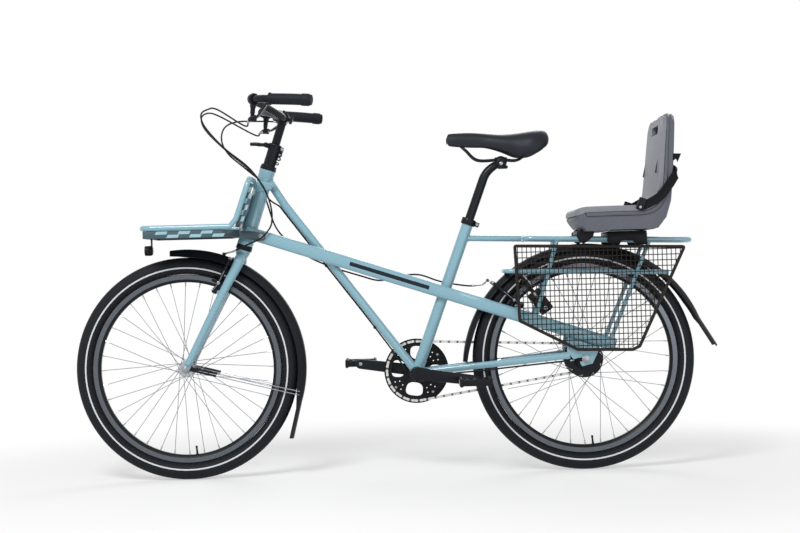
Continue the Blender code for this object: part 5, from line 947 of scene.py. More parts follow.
bell_place, bell_ahead = along_bar(bar_length - 0.22, bar_length - 0.214)
bell_run = (bell_ahead - bell_place).normalized()
bell_up = Vector((0.1, 0, 1))
bell_up = (bell_up - bell_run * bell_up.dot(bell_run)).normalized()
settle(joined([
    painted(turned(round_band(0.006, 0.005, 0.0114, 0.014, 0.0147), bell_place, bell_run, 40), gloss_black),
    painted(rod(bell_place + bell_up * 0.012, bell_place + bell_up * 0.0175, 0.005), gloss_black),
    painted(turned([(0.017, 0), (0.017, 0.0158), (0.0175, 0.0165), (0.0205, 0.0165), (0.0212, 0.0158),
        (0.0212, 0)], bell_place, bell_up, 48), polished),
    painted(turned([(0.021, 0), (0.021, 0.0156), (0.0245, 0.0148), (0.0285, 0.0122), (0.031, 0.008),
        (0.0322, 0.0034), (0.0324, 0)], bell_place, bell_up, 48), satin_black),
]), "bell_dome", "bars", gloss_black, ["bell"])

# Rim brakes: forged black arms on studs, each with a return spring wire and a rubber pad on a threaded post.
# The cable's bent guide pipe sits on the left arm and a rubber bellows covers the wire between the arms.

pad_rubber = surface("pad_rubber", shade(32, 33, 37), 0.7, mottle=0.12, scale=300, grain=900, relief=0.00008)


def brake_arm(name, body, node, base, up, out, hand):
    """Arm, pivot, spring, pad post and pad on one stud."""
    tread = Vector((-up.z, 0, up.x))
    pad_spot = base + up * 0.025
    pad_spot.y = hand * 0.0193
    top = base + up * 0.105 + across * hand * 0.004
    line = smooth([base, base + up * 0.045 + across * hand * 0.001, top], 7)
    radii = [0.0063 - 0.0018 * number / (len(line) - 1) for number in range(len(line))]
    parts = [
        painted(turned(round_band(0.007, 0.0062, 0.0049, 0.0082, 0.009), base, out, 36), satin_black),
        painted(tube(line, radii), satin_black),
        painted(rod(pad_spot + across * hand * 0.0042, Vector((pad_spot.x, base.y + hand * 0.0125,
            pad_spot.z)), 0.003), steel),
        painted(rod(Vector((pad_spot.x, base.y + hand * 0.006, pad_spot.z)),
            Vector((pad_spot.x, base.y + hand * 0.0105, pad_spot.z)), 0.0052, vertices=6), steel),
        painted(turned([(-0.0085, 0.0032), (-0.0085, 0.0072), (-0.006, 0.0062), (-0.006, 0.0032)],
            Vector((pad_spot.x, base.y, pad_spot.z)), across * hand, 28), satin_black),
        painted(block(pad_spot + across * hand * 0.0014, (0.05, 0.0056, 0.01), tread, up, 0.0016),
            satin_black),
        painted(tube(smooth([base + out * 0.004 + across * hand * 0.0105, base + up * 0.03
            + across * hand * 0.0115, base + up * 0.062 + across * hand * 0.0098, base + up * 0.064
            - across * hand * 0.001], 5), 0.0009, round_steps=2), steel),
        painted(rod(top - out * 0.005, top + out * 0.005, 0.004, vertices=6 if hand > 0 else 24), steel),
    ]
    for number in range(4):
        spot = pad_spot + tread * (number - 1.5) * 0.0124 - across * hand * 0.003
        parts.append(painted(block(spot, (0.0115, 0.004, 0.0096), tread, up, 0.0008), pad_rubber))
    settle(joined(parts), name, body, satin_black, [node])


for word, hand in sides:
    brake_arm(f"front_brake_arm_{word}", f"front_brake_{word}", f"front_brake_{word}",
        Vector(joint[f"front_brake_{word}"]["pos_m"]), blade_up, blade_front, hand)
    brake_arm(f"rear_brake_arm_{word}", f"rear_brake_{word}", f"rear_brake_{word}",
        Vector(joint[f"rear_brake_{word}"]["pos_m"]), rear_up, rear_out, hand)

# Tyres: black rubber with a slanted block tread, a plain ribbed wall and a pale reflecting line on each side.


def tyre_rubber(name, axle):
    """Rubber whose tread blocks follow the wheel round, with painted shade darkening the grooves between them.
    """
    material = surface(name, shade(29, 30, 35), 0.55, mottle=0.1, scale=90, grain=800, relief=0.0001,
        gloss=0.12)
    tree = material.node_tree
    centre = add_node(tree, "Mapping", {"Vector": tree.nodes["place"].outputs["Object"], "Location": -axle})
    split = add_node(tree, "SeparateXYZ", {"Vector": centre.outputs["Vector"]})

    def sums(operation, *values):
        return add_node(tree, "Math", dict(enumerate(values)), operation=operation).outputs[0]

    turn = sums("ARCTAN2", split.outputs["Z"], split.outputs["X"])
    side = sums("ABSOLUTE", split.outputs["Y"])
    slanted = sums("ADD", sums("MULTIPLY", turn, 96), sums("MULTIPLY", side, 520))
    cross_groove = sums("GREATER_THAN", sums("SINE", slanted), 0.8)
    ring_groove = sums("GREATER_THAN", sums("COSINE", sums("MULTIPLY", side, 700)), 0.9)
    groove = sums("MAXIMUM", cross_groove, ring_groove)
    on_tread = sums("MULTIPLY", groove, sums("LESS_THAN", side, 0.0175))
    height = sums("SUBTRACT", tree.nodes["fine"].outputs["Fac"], sums("MULTIPLY", on_tread, 5))
    feed(tree, tree.nodes["raised"], {"Height": height})
    # The grooves are mixed towards a darker rubber colour: painted shade in the grooves between the tread
    # blocks.
    painted_groove_shade = add_node(tree, "Mix", {"Factor": on_tread, "A": tree.nodes["paler"].outputs["Result"],
        "B": (*shade(17, 18, 20), 1)}, data_type="RGBA")
    feed(tree, tree.nodes["Principled BSDF"], {"Base Color": painted_groove_shade.outputs["Result"]})
    return material


reflector = surface("reflecting_line", shade(205, 208, 210), 0.45, mottle=0.05, scale=300, relief=0.00003)
track = surface("machined_brake_track", shade(98, 103, 110), 0.24, metallic=1.0, mottle=0.05, scale=80,
    grain=1500, relief=0.00002)
rim_black = surface("anodised_rim", shade(20, 21, 25), 0.3, mottle=0.08, scale=120, grain=2000,
    relief=0.00001, gloss=0.2)
spoke_steel = surface("spoke_steel", shade(150, 152, 156), 0.3, metallic=0.9, mottle=0.06, scale=200,
    relief=0.00001)
section_centre = 0.3045
section_radius = 0.0247
tyre_section = []
for degrees in range(-136, 137, 8):
    turn = math.radians(degrees)
    swell = section_radius + (0.0003 if abs(degrees) < 44 else 0) + (0.0003 if abs(degrees) in (72, 128)
        else 0)
    tyre_section.append((swell * math.sin(turn), section_centre + swell * math.cos(turn)))
tyre_section += [(0.0122, 0.2806), (-0.0122, 0.2806)]
wheels = (("front", "front_wheel", front_axle, 0.02), ("rear", "rear_wheel", rear_axle, 0.0495))
for word, body, axle, hole_radius in wheels:
    settle(turned(tyre_section, axle, across, 128), f"{word}_tyre_rubber", body,
        tyre_rubber(f"{word}_tyre_rubber", axle), [f"{word}_tyre"], 60)
    lines = []
    for name, hand in sides:
        turns = [math.radians(degrees) for degrees in (98, 103, 108)]
        band = [(hand * 0.0249 * math.sin(turn), section_centre + 0.0249 * math.cos(turn)) for turn in turns]
        band += [(hand * 0.0245 * math.sin(turn), section_centre + 0.0245 * math.cos(turn))
            for turn in reversed(turns)]
        lines.append(turned(band, axle, across, 128))
    settle(joined(lines), f"{word}_tyre_reflecting_lines", body, reflector)

    # Rims: black extruded alloy joined into a hoop, with bright brake tracks, spoke nipples and a valve.
    hoop = turned([(-0.0125, 0.279), (-0.0118, 0.28), (-0.0105, 0.279), (0.0105, 0.279), (0.0118, 0.28),
        (0.0125, 0.279), (0.0125, 0.264), (0.0112, 0.2618), (0.0056, 0.2563), (-0.0056, 0.2563),
        (-0.0112, 0.2618), (-0.0125, 0.264)], axle, across, 128)
    parts = [painted(hoop, rim_black)]
    for name, hand in sides:
        parts.append(painted(turned([(hand * 0.012, 0.2786), (hand * 0.0127, 0.2784), (hand * 0.0127,
            0.2652), (hand * 0.012, 0.265)], axle, across, 128), track))
    valve_run = ray(math.radians(-85))
    parts.append(painted(turned([(0.231, 0), (0.231, 0.0026), (0.2325, 0.0032), (0.237, 0.0034),
        (0.238, 0.0026), (0.254, 0.0033), (0.257, 0.0052), (0.2575, 0)], axle, valve_run, 24), gloss_black))
    spokes = []
    spoke_count = 36
    for number in range(spoke_count):
        hand = 1 if number % 2 else -1
        lead = 1 if number % 4 < 2 else -1
        rim_turn = math.tau * number / spoke_count
        hub_turn = rim_turn + lead * math.radians(60)
        start = axle + Vector((math.cos(hub_turn) * hole_radius, hand * (0.033 + lead * 0.002),
            math.sin(hub_turn) * hole_radius))
        end = axle + Vector((math.cos(rim_turn) * 0.256, hand * (0.003 + lead * 0.0012),
            math.sin(rim_turn) * 0.256))
        run = (end - start).normalized()
        parts.append(painted(rod(end - run * 0.012, end + run * 0.001, 0.0021, 0, 8), polished))
        spokes.append(painted(rod(start, end - run * 0.003, 0.001, 0, 6), spoke_steel))
        spokes.append(painted(rod(start - across * 0.0026, start + across * 0.0026, 0.0018, 0, 6),
            spoke_steel))
    settle(joined(parts), f"{word}_rim_hoop", body, rim_black, [f"{word}_rim"], 30)

    # Hubs: a small bright alloy one in front, and behind a black hub with its gears in a wide drum.
    if word == "front":
        shell = turned([(-0.0457, 0.0056), (-0.0457, 0.0092), (-0.0445, 0.01), (-0.0362, 0.0124),
            (-0.0348, 0.0134), (-0.0348, 0.0232), (-0.034, 0.024), (-0.032, 0.024), (-0.0312, 0.0232),
            (-0.031, 0.015), (-0.025, 0.0132), (0.025, 0.0132), (0.031, 0.015), (0.0312, 0.0232),
            (0.032, 0.024), (0.034, 0.024), (0.0348, 0.0232), (0.0348, 0.0134), (0.0362, 0.0124),
            (0.0445, 0.01), (0.0457, 0.0092), (0.0457, 0.0056)], axle, across, 64)
        finish = polished
    else:
        shell = turned([(-0.0585, 0.0056), (-0.0585, 0.0118), (-0.05, 0.0146), (-0.0348, 0.0198),
            (-0.0348, 0.0545), (-0.0338, 0.0555), (-0.0322, 0.0555), (-0.0312, 0.0545), (-0.03, 0.0462),
            (-0.024, 0.0455), (-0.0232, 0.0448), (-0.015, 0.0448), (-0.0142, 0.0455), (0.0142, 0.0455),
            (0.015, 0.0448), (0.0232, 0.0448), (0.024, 0.0455), (0.03, 0.0462), (0.0312, 0.0545),
            (0.0322, 0.0555), (0.0338, 0.0555), (0.0348, 0.0545), (0.0348, 0.0225), (0.0405, 0.02),
            (0.0405, 0.0056)], axle, across, 96)
        finish = satin_black
    settle(joined([painted(shell, finish), *spokes]), f"{word}_hub_and_spokes", body, finish,
        [f"{word}_hub"])

# Rear axle: a long threaded axle with nuts outside the end plates, and the hub's cable pulley on the left.

settle(joined([
    painted(rod(rear_axle - across * 0.075, rear_axle + across * 0.075, 0.0048, 0), steel),
    *[painted(part, steel) for word, hand in sides for part in axle_end(rear_axle, hand, 0.0741, 0.0096,
        0.009)],
    painted(turned([(-0.0588, 0.0049), (-0.0588, 0.01), (-0.0675, 0.009), (-0.0675, 0.0049)], rear_axle,
        across, 28), steel),
    painted(turned([(0.0585, 0.0049), (0.0585, 0.009), (0.0675, 0.009), (0.0675, 0.0049)], rear_axle, across,
        28), steel),
    painted(turned([(-0.049, 0.0168), (-0.049, 0.027), (-0.05, 0.0285), (-0.0515, 0.0265), (-0.053, 0.0285),
        (-0.054, 0.027), (-0.06, 0.023), (-0.064, 0.01), (-0.06, 0.01), (-0.059, 0.0168)], rear_axle, across,
        48), gloss_black),
]), "rear_axle_steel", "frame", steel, ["rear_axle"])

# Drive: a toothed steel ring on an alloy carrier with a black guard disc, cut out in four rounded windows.
# Forged arms are bolted on a square axle and carry moulded platform pedals.


def toothed(centre, count, root, tip, near, far):
    """Sprocket plate with rounded teeth, from y = near to y = far."""
    outline = []
    for number in range(count):
        for share, radius in ((0.0, root), (0.28, root), (0.42, tip), (0.72, tip), (0.86, root)):
            turn = math.tau * (number + share) / count
            outline.append(centre + Vector((math.cos(turn) * radius, near, math.sin(turn) * radius)))
    return plate(outline, (0, far - near, 0), 0)


def cut(thing, tool):
    """Cut a tool's shape out of a piece."""
    bpy.ops.object.select_all(action="DESELECT")
    bpy.context.view_layer.objects.active = thing
    change = thing.modifiers.new("cut", "BOOLEAN")
    change.operation = "DIFFERENCE"
    change.object = tool
    change.solver = "EXACT"
    bpy.ops.object.modifier_apply(modifier=change.name)
    bpy.data.objects.remove(tool)
    return thing


def windows():
    """Four rounded windows and four pairs of small holes, as one cutting tool."""
    tools = []
    for quarter in range(4):
        turn = math.radians(quarter * 90 - 8)
        outward = ray(turn)
        sideways = Vector((-outward.z, 0, outward.x))
        middle = bracket + outward * 0.0535 + across * 0.04
        outline = []
        for step in range(28):
            angle = math.tau * step / 28
            wide, tall = math.cos(angle), math.sin(angle)
            outline.append(middle + outward * 0.02 * math.copysign(abs(wide) ** 0.7, wide) * (1
                + 0.06 * wide) + sideways * (0.025 + 0.004 * wide) * math.copysign(abs(tall) ** 0.7, tall))
        tools.append(plate(outline, across * 0.03, 0))
        for spread in (-13, 13):
            for radius in (0.0595, 0.0725):
                hole_turn = turn + math.radians(45 + spread * (0.55 if radius < 0.065 else 0.85))
                spot = bracket + ray(hole_turn) * radius
                tools.append(rod(spot + across * 0.04, spot + across * 0.07, 0.002, 0, 10))
    return joined(tools)


def crank_arm(out, hand):
    """Forged arm from the axle to the pedal's eye."""
    eye = bracket + out * 0.17
    rise = Vector((-out.z, 0, out.x))
    near = across * hand * 0.0708
    outline = []
    for degrees in range(90, 271, 15):
        turn = math.radians(degrees)
        outline.append(bracket + near + out * 0.0205 * math.cos(turn) + rise * 0.0205 * math.sin(turn))
    outline.append(bracket + near + out * 0.04 - rise * 0.017)
    for degrees in range(-90, 91, 15):
        turn = math.radians(degrees)
        outline.append(eye + near + out * 0.0152 * math.cos(turn) + rise * 0.015 * math.sin(turn))
    outline.append(bracket + near + out * 0.04 + rise * 0.017)
    arm = plate(outline, across * hand * 0.0135, 0.0038, 3)
    return [
        painted(arm, satin_black),
        painted(turned([(hand * 0.06, 0.0088), (hand * 0.06, 0.019), (hand * 0.062, 0.0205), (hand * 0.071,
            0.0205), (hand * 0.071, 0.0088)], bracket, across, 40), satin_black),
        painted(turned([(hand * 0.0842, 0), (hand * 0.0842, 0.011), (hand * 0.085, 0.01), (hand * 0.0846,
            0.004), (hand * 0.0846, 0)], bracket, across, 32), gloss_black),
        painted(rod(eye + across * hand * 0.07, eye + across * hand * 0.173, 0.0052), steel),
        painted(turned([(hand * 0.0838, 0.005), (hand * 0.0838, 0.0088), (hand * 0.0849, 0.0084),
            (hand * 0.0849, 0.005)], eye, across, 28), steel),
    ]


tilt = math.radians(8)
out_right = Vector((-math.cos(tilt), 0, math.sin(tilt)))
ring_y, ring_back = 0.0489, 0.0511
ring = cut(toothed(bracket, 44, 0.0862, 0.0912, ring_y, ring_back), windows())
guard = turned([(0.0551, 0), (0.0551, 0.0962), (0.0556, 0.097), (0.0576, 0.097), (0.0581, 0.0962),
    (0.0581, 0)], bracket, across, 96)
guard = cut(guard, windows())
carrier = turned([(0.043, 0), (0.043, 0.02), (0.045, 0.028), (0.0489, 0.029), (0.0489, 0.024),
    (0.0581, 0.024), (0.06, 0.0225), (0.0708, 0.0215), (0.0708, 0)], bracket, across, 56)
ring_bolts = []
for quarter in range(4):
    turn = math.radians(quarter * 90 + 37)
    spot = bracket + ray(turn) * 0.079
    ring_bolts.append(painted(rod(spot + across * 0.0475, spot + across * 0.0586, 0.0038), steel))
settle(joined([
    painted(ring, gloss_black), painted(guard, gloss_black), painted(carrier, satin_black), *ring_bolts,
    painted(turned([(-0.084, 0), (-0.084, 0.0083), (-0.059, 0.0083), (-0.054, 0.0119), (0.043, 0.0119),
        (0.043, 0)], bracket, across, 32), steel),
    *crank_arm(out_right, 1),
]), "crank_right_with_ring", "crank", satin_black, ["crank_right"], 30)
settle(joined(crank_arm(-out_right, -1)), "crank_left_arm", "crank", satin_black, ["crank_left"], 30)
pale_reflector = surface("pale_reflector", shade(188, 190, 186), 0.25, mottle=0.1, scale=500, grain=600,
    relief=0.0001)
for word, hand in sides:
    eye = Vector(joint[f"pedal_{word}"]["pos_m"])
    parts = []
    for reach in (-1, 1):
        for offset, size, edge, segments, finish in (
                ((reach * 0.042, 0, 0), (0.0105, 0.094, 0.024), 0.0032, 3, gloss_black),
                ((reach * 0.0467, 0, 0), (0.0016, 0.056, 0.013), 0.0006, 2, pale_reflector),
                ((0, reach * 0.0425, 0), (0.08, 0.0095, 0.019), 0.0026, 3, gloss_black),
                ((reach * 0.0235, 0, 0), (0.006, 0.08, 0.015), 0.0014, 2, gloss_black)):
            parts.append(painted(block(eye + Vector(offset), size, edge=edge, segments=segments), finish))
        for number in range(8):
            spot = eye + Vector((reach * 0.042, (number - 3.5) * 0.0115, 0))
            parts.append(painted(block(spot, (0.006, 0.005, 0.0258), edge=0.001), gloss_black))
    parts.append(painted(turned([(-0.05, 0.0068), (-0.05, 0.0098), (-0.048, 0.0105), (-0.042, 0.0095),
        (0.044, 0.0095), (0.047, 0.0085), (0.0475, 0.0), (0.04, 0.0), (0.04, 0.0068)], eye, across * hand,
        32), gloss_black))
    settle(joined(parts), f"pedal_{word}_platform", f"pedal_{word}", gloss_black, [f"pedal_{word}"])

# Rear sprocket: a toothed steel plate on the hub's driver, with a snap ring outside it.

settle(joined([
    toothed(rear_axle, 20, 0.0372, 0.0424, ring_y, ring_back),
    turned([(0.0408, 0.0056), (0.0408, 0.019), (0.0489, 0.02), (0.0511, 0.0185), (0.056, 0.0175),
        (0.0582, 0.016), (0.0582, 0.0056)], rear_axle, across, 48),
    turned([(0.0512, 0.018), (0.0512, 0.0205), (0.0522, 0.0205), (0.0522, 0.018)], rear_axle, across, 48),
]), "rear_sprocket_plate", "sprocket", steel, ["rear_sprocket"], 30)

# Chain: half-inch roller chain of plated outer links and darker inner links, run round both toothed plates.

chain_bright = surface("chain_plated", shade(206, 206, 204), 0.32, metallic=1.0, mottle=0.1, scale=140,
    relief=0.00003)
# The inner links are given a darker steel colour than the outer ones.
chain_dark = surface("chain_darker_inner", shade(84, 82, 78), 0.38, metallic=1.0, mottle=0.2, scale=140,
    relief=0.00003)
pitch = 0.0127
ring_reach = 0.089
sprocket_reach = 0.0406
centres = rear_axle - bracket
tilt_back = math.atan2(centres.z, centres.x)
wrap = math.acos((ring_reach - sprocket_reach) / centres.length)
route = []
for centre, radius, first, last, steps in ((bracket, ring_reach, tilt_back + wrap, tilt_back + math.tau
        - wrap, 60), (rear_axle, sprocket_reach, tilt_back - wrap, tilt_back + wrap, 40)):
    for step in range(steps + 1):
        turn = first + (last - first) * step / steps
        route.append(centre + Vector((math.cos(turn) * radius, 0.05, math.sin(turn) * radius)))
route.append(route[0])
reaches = [0.0]
for before, after in zip(route, route[1:]):
    reaches.append(reaches[-1] + (after - before).length)
link_count = round(reaches[-1] / pitch / 2) * 2
pins = []
index = 0
for number in range(link_count):
    wanted = reaches[-1] * number / link_count
    while reaches[index + 1] < wanted:
        index += 1
    pins.append(route[index].lerp(route[index + 1], (wanted - reaches[index]) / (reaches[index + 1]
        - reaches[index])))


def link_plate(side, thick):
    """Waisted plate of a chain link, lying along X from its first pin."""
    outline = []
    for centre, first in ((pitch, -72), (0.0, 108)):
        outline += [Vector((centre + 0.0041 * math.cos(math.radians(first + 36 * step)), side,
            0.0041 * math.sin(math.radians(first + 36 * step)))) for step in range(5)]
        outline.append(Vector((0.00635, side, 0.0031 if centre else -0.0031)))
    return plate(outline, (0, thick, 0), 0)


def link_model(plate_sides, half, radius, vertices, finish):
    """Two plates and two rollers or pins, as one link."""
    made = [link_plate(side, 0.0008) for side in plate_sides]
    made += [rod(Vector((x, -half, 0)), Vector((x, half, 0)), radius, 0, vertices) for x in (0, pitch)]
    return painted(joined(made), finish)


inner = link_model((-0.0029, 0.0021), 0.0021, 0.0036, 10, chain_dark)
outer = link_model((-0.0039, 0.0031), 0.0044, 0.0017, 8, chain_bright)
links = []
for number, pin in enumerate(pins):
    ahead_pin = pins[(number + 1) % link_count]
    run = (ahead_pin - pin).normalized()
    model = outer if number % 2 else inner
    link = model.copy()
    link.data = model.data.copy()
    bpy.context.collection.objects.link(link)
    turn = Matrix((run, across, run.cross(across))).transposed().to_4x4()
    link.data.transform(Matrix.Translation(pin) @ turn)
    links.append(link)
for model in (inner, outer):
    bpy.data.objects.remove(model)
settle(joined(links), "chain_links", "frame", chain_bright, ["chain"], 30)

# Mudguards: moulded black strips, flat on top with turned-down beaded sides, each ending in a straight flap.
# A short post holds each at the top, a cross rod the rear one's tail, two wires a side the front one's foot.

guard_black = surface("mudguard_plastic", shade(25, 26, 30), 0.36, mottle=0.1, scale=60, grain=700,
    relief=0.00004, gloss=0.14)


def skin(rows):
    """Sheet through rows of points."""
    bpy.ops.object.select_all(action="DESELECT")
    columns, ranks = len(rows[0]) - 1, len(rows) - 1
    bpy.ops.mesh.primitive_grid_add(x_subdivisions=columns, y_subdivisions=ranks, size=1)
    thing = bpy.context.object
    for vertex in thing.data.vertices:
        vertex.co = rows[round((vertex.co.y + 0.5) * ranks)][round((vertex.co.x + 0.5) * columns)]
    return thing


def mudguard(centre, radius, first, last, tip, depth):
    """Strip round a circle with a flap, given a wall and a bead along both edges."""
    half_width = 0.0304
    steps = 48
    flap_steps = 9
    path = []
    for step in range(steps + 1):
        turn = math.radians(first + (last - first) * step / steps)
        outward = ray(turn)
        path.append((centre + outward * radius, outward))
    end, end_out = path[-1]
    run = (tip - end).normalized()
    flap_out = Vector((-run.z, 0, run.x))
    if flap_out.dot(end_out) < 0:
        flap_out = -flap_out
    for step in range(1, flap_steps + 1):
        path.append((end.lerp(tip, step / flap_steps), end_out.lerp(flap_out,
            min(1, step / 3)).normalized()))
    rows = []
    for rank, (spot, outward) in enumerate(path):
        skirt = depth * min(1, 0.7 + rank / 12, max(0.45, (len(path) - 4 - rank) / 9))
        shares = [number / 8 for number in range(-8, 9)]
        rows.append([spot + across * half_width * share - outward * skirt * max(0, abs(share)
            - 0.3) ** 1.9 * 1.97 for share in shares])
    sheet = skin(rows)
    if sheet.data.polygons[0].normal.dot(path[0][1]) < 0:
        sheet.data.flip_normals()
    bpy.context.view_layer.objects.active = sheet
    wall = sheet.modifiers.new("wall", "SOLIDIFY")
    wall.thickness = 0.0018
    wall.offset = -1
    bpy.ops.object.modifier_apply(modifier=wall.name)
    edges = [[row[0] for row in rows], [row[-1] for row in rows]]
    return [painted(sheet, guard_black), *[painted(tube(edge, 0.0015, round_steps=2), guard_black)
        for edge in edges]]


post_top = on_head(-0.0435)
to_post = (post_top - front_axle).normalized()
parts = mudguard(front_axle, 0.354, 96.9, -16.8, at(0.3106, 0, 0.114), 0.023)
parts.append(painted(rod(front_axle + to_post * 0.3528, post_top, 0.006), guard_black))
for word, hand in sides:
    for lift in (0.0, 0.012):
        foot = front_axle + Vector((0.0132 + lift * 0.28, hand * 0.0533, -0.002 + lift * 0.5))
        tip = circle_points(front_axle, 0.342, [-14.5 + lift * 150])[0] + across * hand * 0.0295
        parts.append(painted(tube([foot, tip], 0.0016, round_steps=2), spoke_steel))
        parts.append(painted(tube([foot, foot.lerp(tip, 0.24)], 0.0034, round_steps=3), gloss_black))
settle(joined(parts), "front_mudguard_strip", "fork", guard_black, ["front_mudguard"])
guard_centre = at(1.185, 0, 0.303)
rail_front = at(0.9475, 0, lower_rail_z(0.9475))
to_rail = (rail_front - guard_centre).normalized()
tail = at(1.418, 0, 0.303 + math.sqrt(0.365 ** 2 - 0.233 ** 2))
settle(joined([
    *mudguard(guard_centre, 0.367, 176, 22.3, at(1.5748, 0, 0.3605), 0.016),
    painted(rod(guard_centre + to_rail * 0.3658, rail_front - to_rail * 0.0072, 0.005), guard_black),
    painted(rod(tail - across * 0.0617, tail + across * 0.0617, 0.003), satin_black),
]), "rear_mudguard_strip", "frame", guard_black, ["rear_mudguard"])

# Frame lock: a steel arch over the tyre in a black moulded coat, with the key cylinder's case on the left.
# A chromed bolt slides round in front of the arch and shuts it.

lock_out = circle_points(Vector(), 1, [126.3])[0]
lock_along = Vector((lock_out.z, 0, -lock_out.x))
lock_centre = Vector(joint["lock_bar_turn"]["pos_m"])


def on_lock(turn, radius, offset=0.0):
    """Place in the lock's plane, at a turn from the bike's right side."""
    turn = math.radians(turn)
    return (lock_centre + across * radius * math.cos(turn) + lock_out * radius * math.sin(turn)
        + lock_along * offset)


arch = [on_lock(turn, 0.048, -0.005) for turn in range(-35, 206, 8)]
arch += [on_lock(turn, 0.042, -0.005) for turn in range(205, -36, -8)]
case = rear_axle - across * 0.045
settle(joined([
    painted(plate(arch, lock_along * 0.01, 0.0014), gloss_black),
    painted(block(case + lock_out * 0.214, (0.042, 0.0136, 0.074), lock_along, lock_out, 0.006, 4),
        gloss_black),
    painted(block(case + lock_out * 0.268, (0.012, 0.007, 0.052), lock_along, lock_out, 0.002), gloss_black),
    painted(turned([(0.006, 0), (0.006, 0.0064), (0.0105, 0.006), (0.011, 0.005), (0.011, 0)],
        case + lock_out * 0.19, -across, 28), steel),
    painted(block(case + lock_out * 0.19 - across * 0.015, (0.0022, 0.009, 0.01), lock_along, lock_out,
        0.0006), steel),
    painted(block(case + lock_out * 0.238 - across * 0.007, (0.007, 0.003, 0.018), lock_along, lock_out,
        0.001), steel),
]), "frame_lock_arch", "frame", gloss_black, ["frame_lock"])
settle(tube([on_lock(turn, 0.045, 0.0088) for turn in range(124, 213, 4)], 0.0035), "frame_lock_bolt",
    "lock_bar", polished, ["lock_bar"])

# Wheel-side guard: a black wire hoop on four welded tabs left of the rear wheel, closed by a wire mesh.

wire_black = surface("coated_wire", shade(38, 35, 32), 0.45, mottle=0.12, scale=150, grain=900,
    relief=0.00004, gloss=0.12)


def hoop_top(x):
    """Height of the guard's top bar."""
    return 0.667 - 0.029 * (x - 0.975)


hoop = [(0.976, hoop_top(0.976)), (1.4712, hoop_top(1.4712)), (1.3336, 0.3654), (1.3129, 0.3557),
    (1.1524, 0.36), (0.9854, 0.4477)]
hoop_y = -0.088
parts = [tube(rounded([at(x, hoop_y, z) for x, z in hoop], 0.004, 3, closed=True), 0.0048, closed=True,
    round_steps=5)]
for x, z, seat in ((0.9805, lower_rail_z(0.9795), 0.0763), (1.3638, hoop_top(1.3638), 0.0683),
        (1.0959, hoop_top(1.0959), 0.0683), (1.156, 0.3592, 0.0741)):
    parts.append(rod(at(x, hoop_y, z), at(x, -seat, z), 0.003))
settle(joined(parts), "wheel_guard_hoop", "frame", wire_black, ["guard_frame"])


def span(value, by_x):
    """Where a straight wire at x or at z meets the hoop."""
    found = []
    for (x0, z0), (x1, z1) in zip(hoop, hoop[1:] + hoop[:1]):
        near, far, low, high = (x0, x1, z0, z1) if by_x else (z0, z1, x0, x1)
        if min(near, far) <= value < max(near, far):
            found.append(low + (high - low) * (value - near) / (far - near))
    return min(found), max(found)


wires = []
wire_radius = 0.0014
for number in range(37):
    x = 0.9835 + number * 0.0132
    if x < 1.466:
        low, high = span(x, True)
        wires.append(rod(at(x, -0.0888, low + 0.002), at(x, -0.0888, high - 0.002), wire_radius, 0, 6))
for number in range(19):
    z = 0.648 - number * 0.0163
    if z > 0.362:
        low, high = span(z, False)
        wires.append(rod(at(low + 0.002, -0.0872, z), at(high - 0.002, -0.0872, z), wire_radius, 0, 6))
settle(joined(wires), "wheel_guard_mesh", "frame", wire_black, ["guard_net"])

# Seatpost: a black alloy tube bent back at its top, with a round drum clamp and one cross bolt for the rails.

saddle_head = on_seat(0.6315) + Vector((0.044, 0, 0.023))
post_line = rounded([on_seat(0.3515), on_seat(0.629), saddle_head + Vector((-0.01, 0, -0.002))], 0.075, 12)
radii = [0.0135, *[0.0135 - 0.0012 * number / 13 for number in range(13)], 0.0112]
parts = [
    painted(tube(post_line, radii, round_steps=8), satin_black),
    painted(turned([(-0.02, 0), (-0.02, 0.0165), (-0.0185, 0.0182), (0.0185, 0.0182), (0.02, 0.0165),
        (0.02, 0)], saddle_head + Vector((0, 0, 0.002)), across, 40), gloss_black),
    painted(block(saddle_head + Vector((0, 0, 0.0135)), (0.036, 0.056, 0.005), edge=0.0018), gloss_black),
    painted(block(saddle_head + Vector((0.006, 0, -0.0125)), (0.03, 0.03, 0.009), edge=0.003), gloss_black),
]
for word, hand in sides:
    parts.append(painted(turned([(0.0195, 0), (0.0195, 0.015), (0.0275, 0.014), (0.0288, 0.012),
        (0.0288, 0)], saddle_head + Vector((0, 0, 0.001)), across * hand, 32), gloss_black))
    parts.append(painted(rod(saddle_head + Vector((0, hand * 0.028, -0.003)), saddle_head
        + Vector((0, hand * 0.0335, -0.003)), 0.0058, 0.0008, 6), steel))
settle(joined(parts), "seatpost_alloy", "seat", satin_black, ["seatpost"])

# Saddle: a foam pad on a moulded base, covered in smooth black vinyl that is glued round under the edge.
# Two bent black rails of round wire clip into the base at nose and tail.

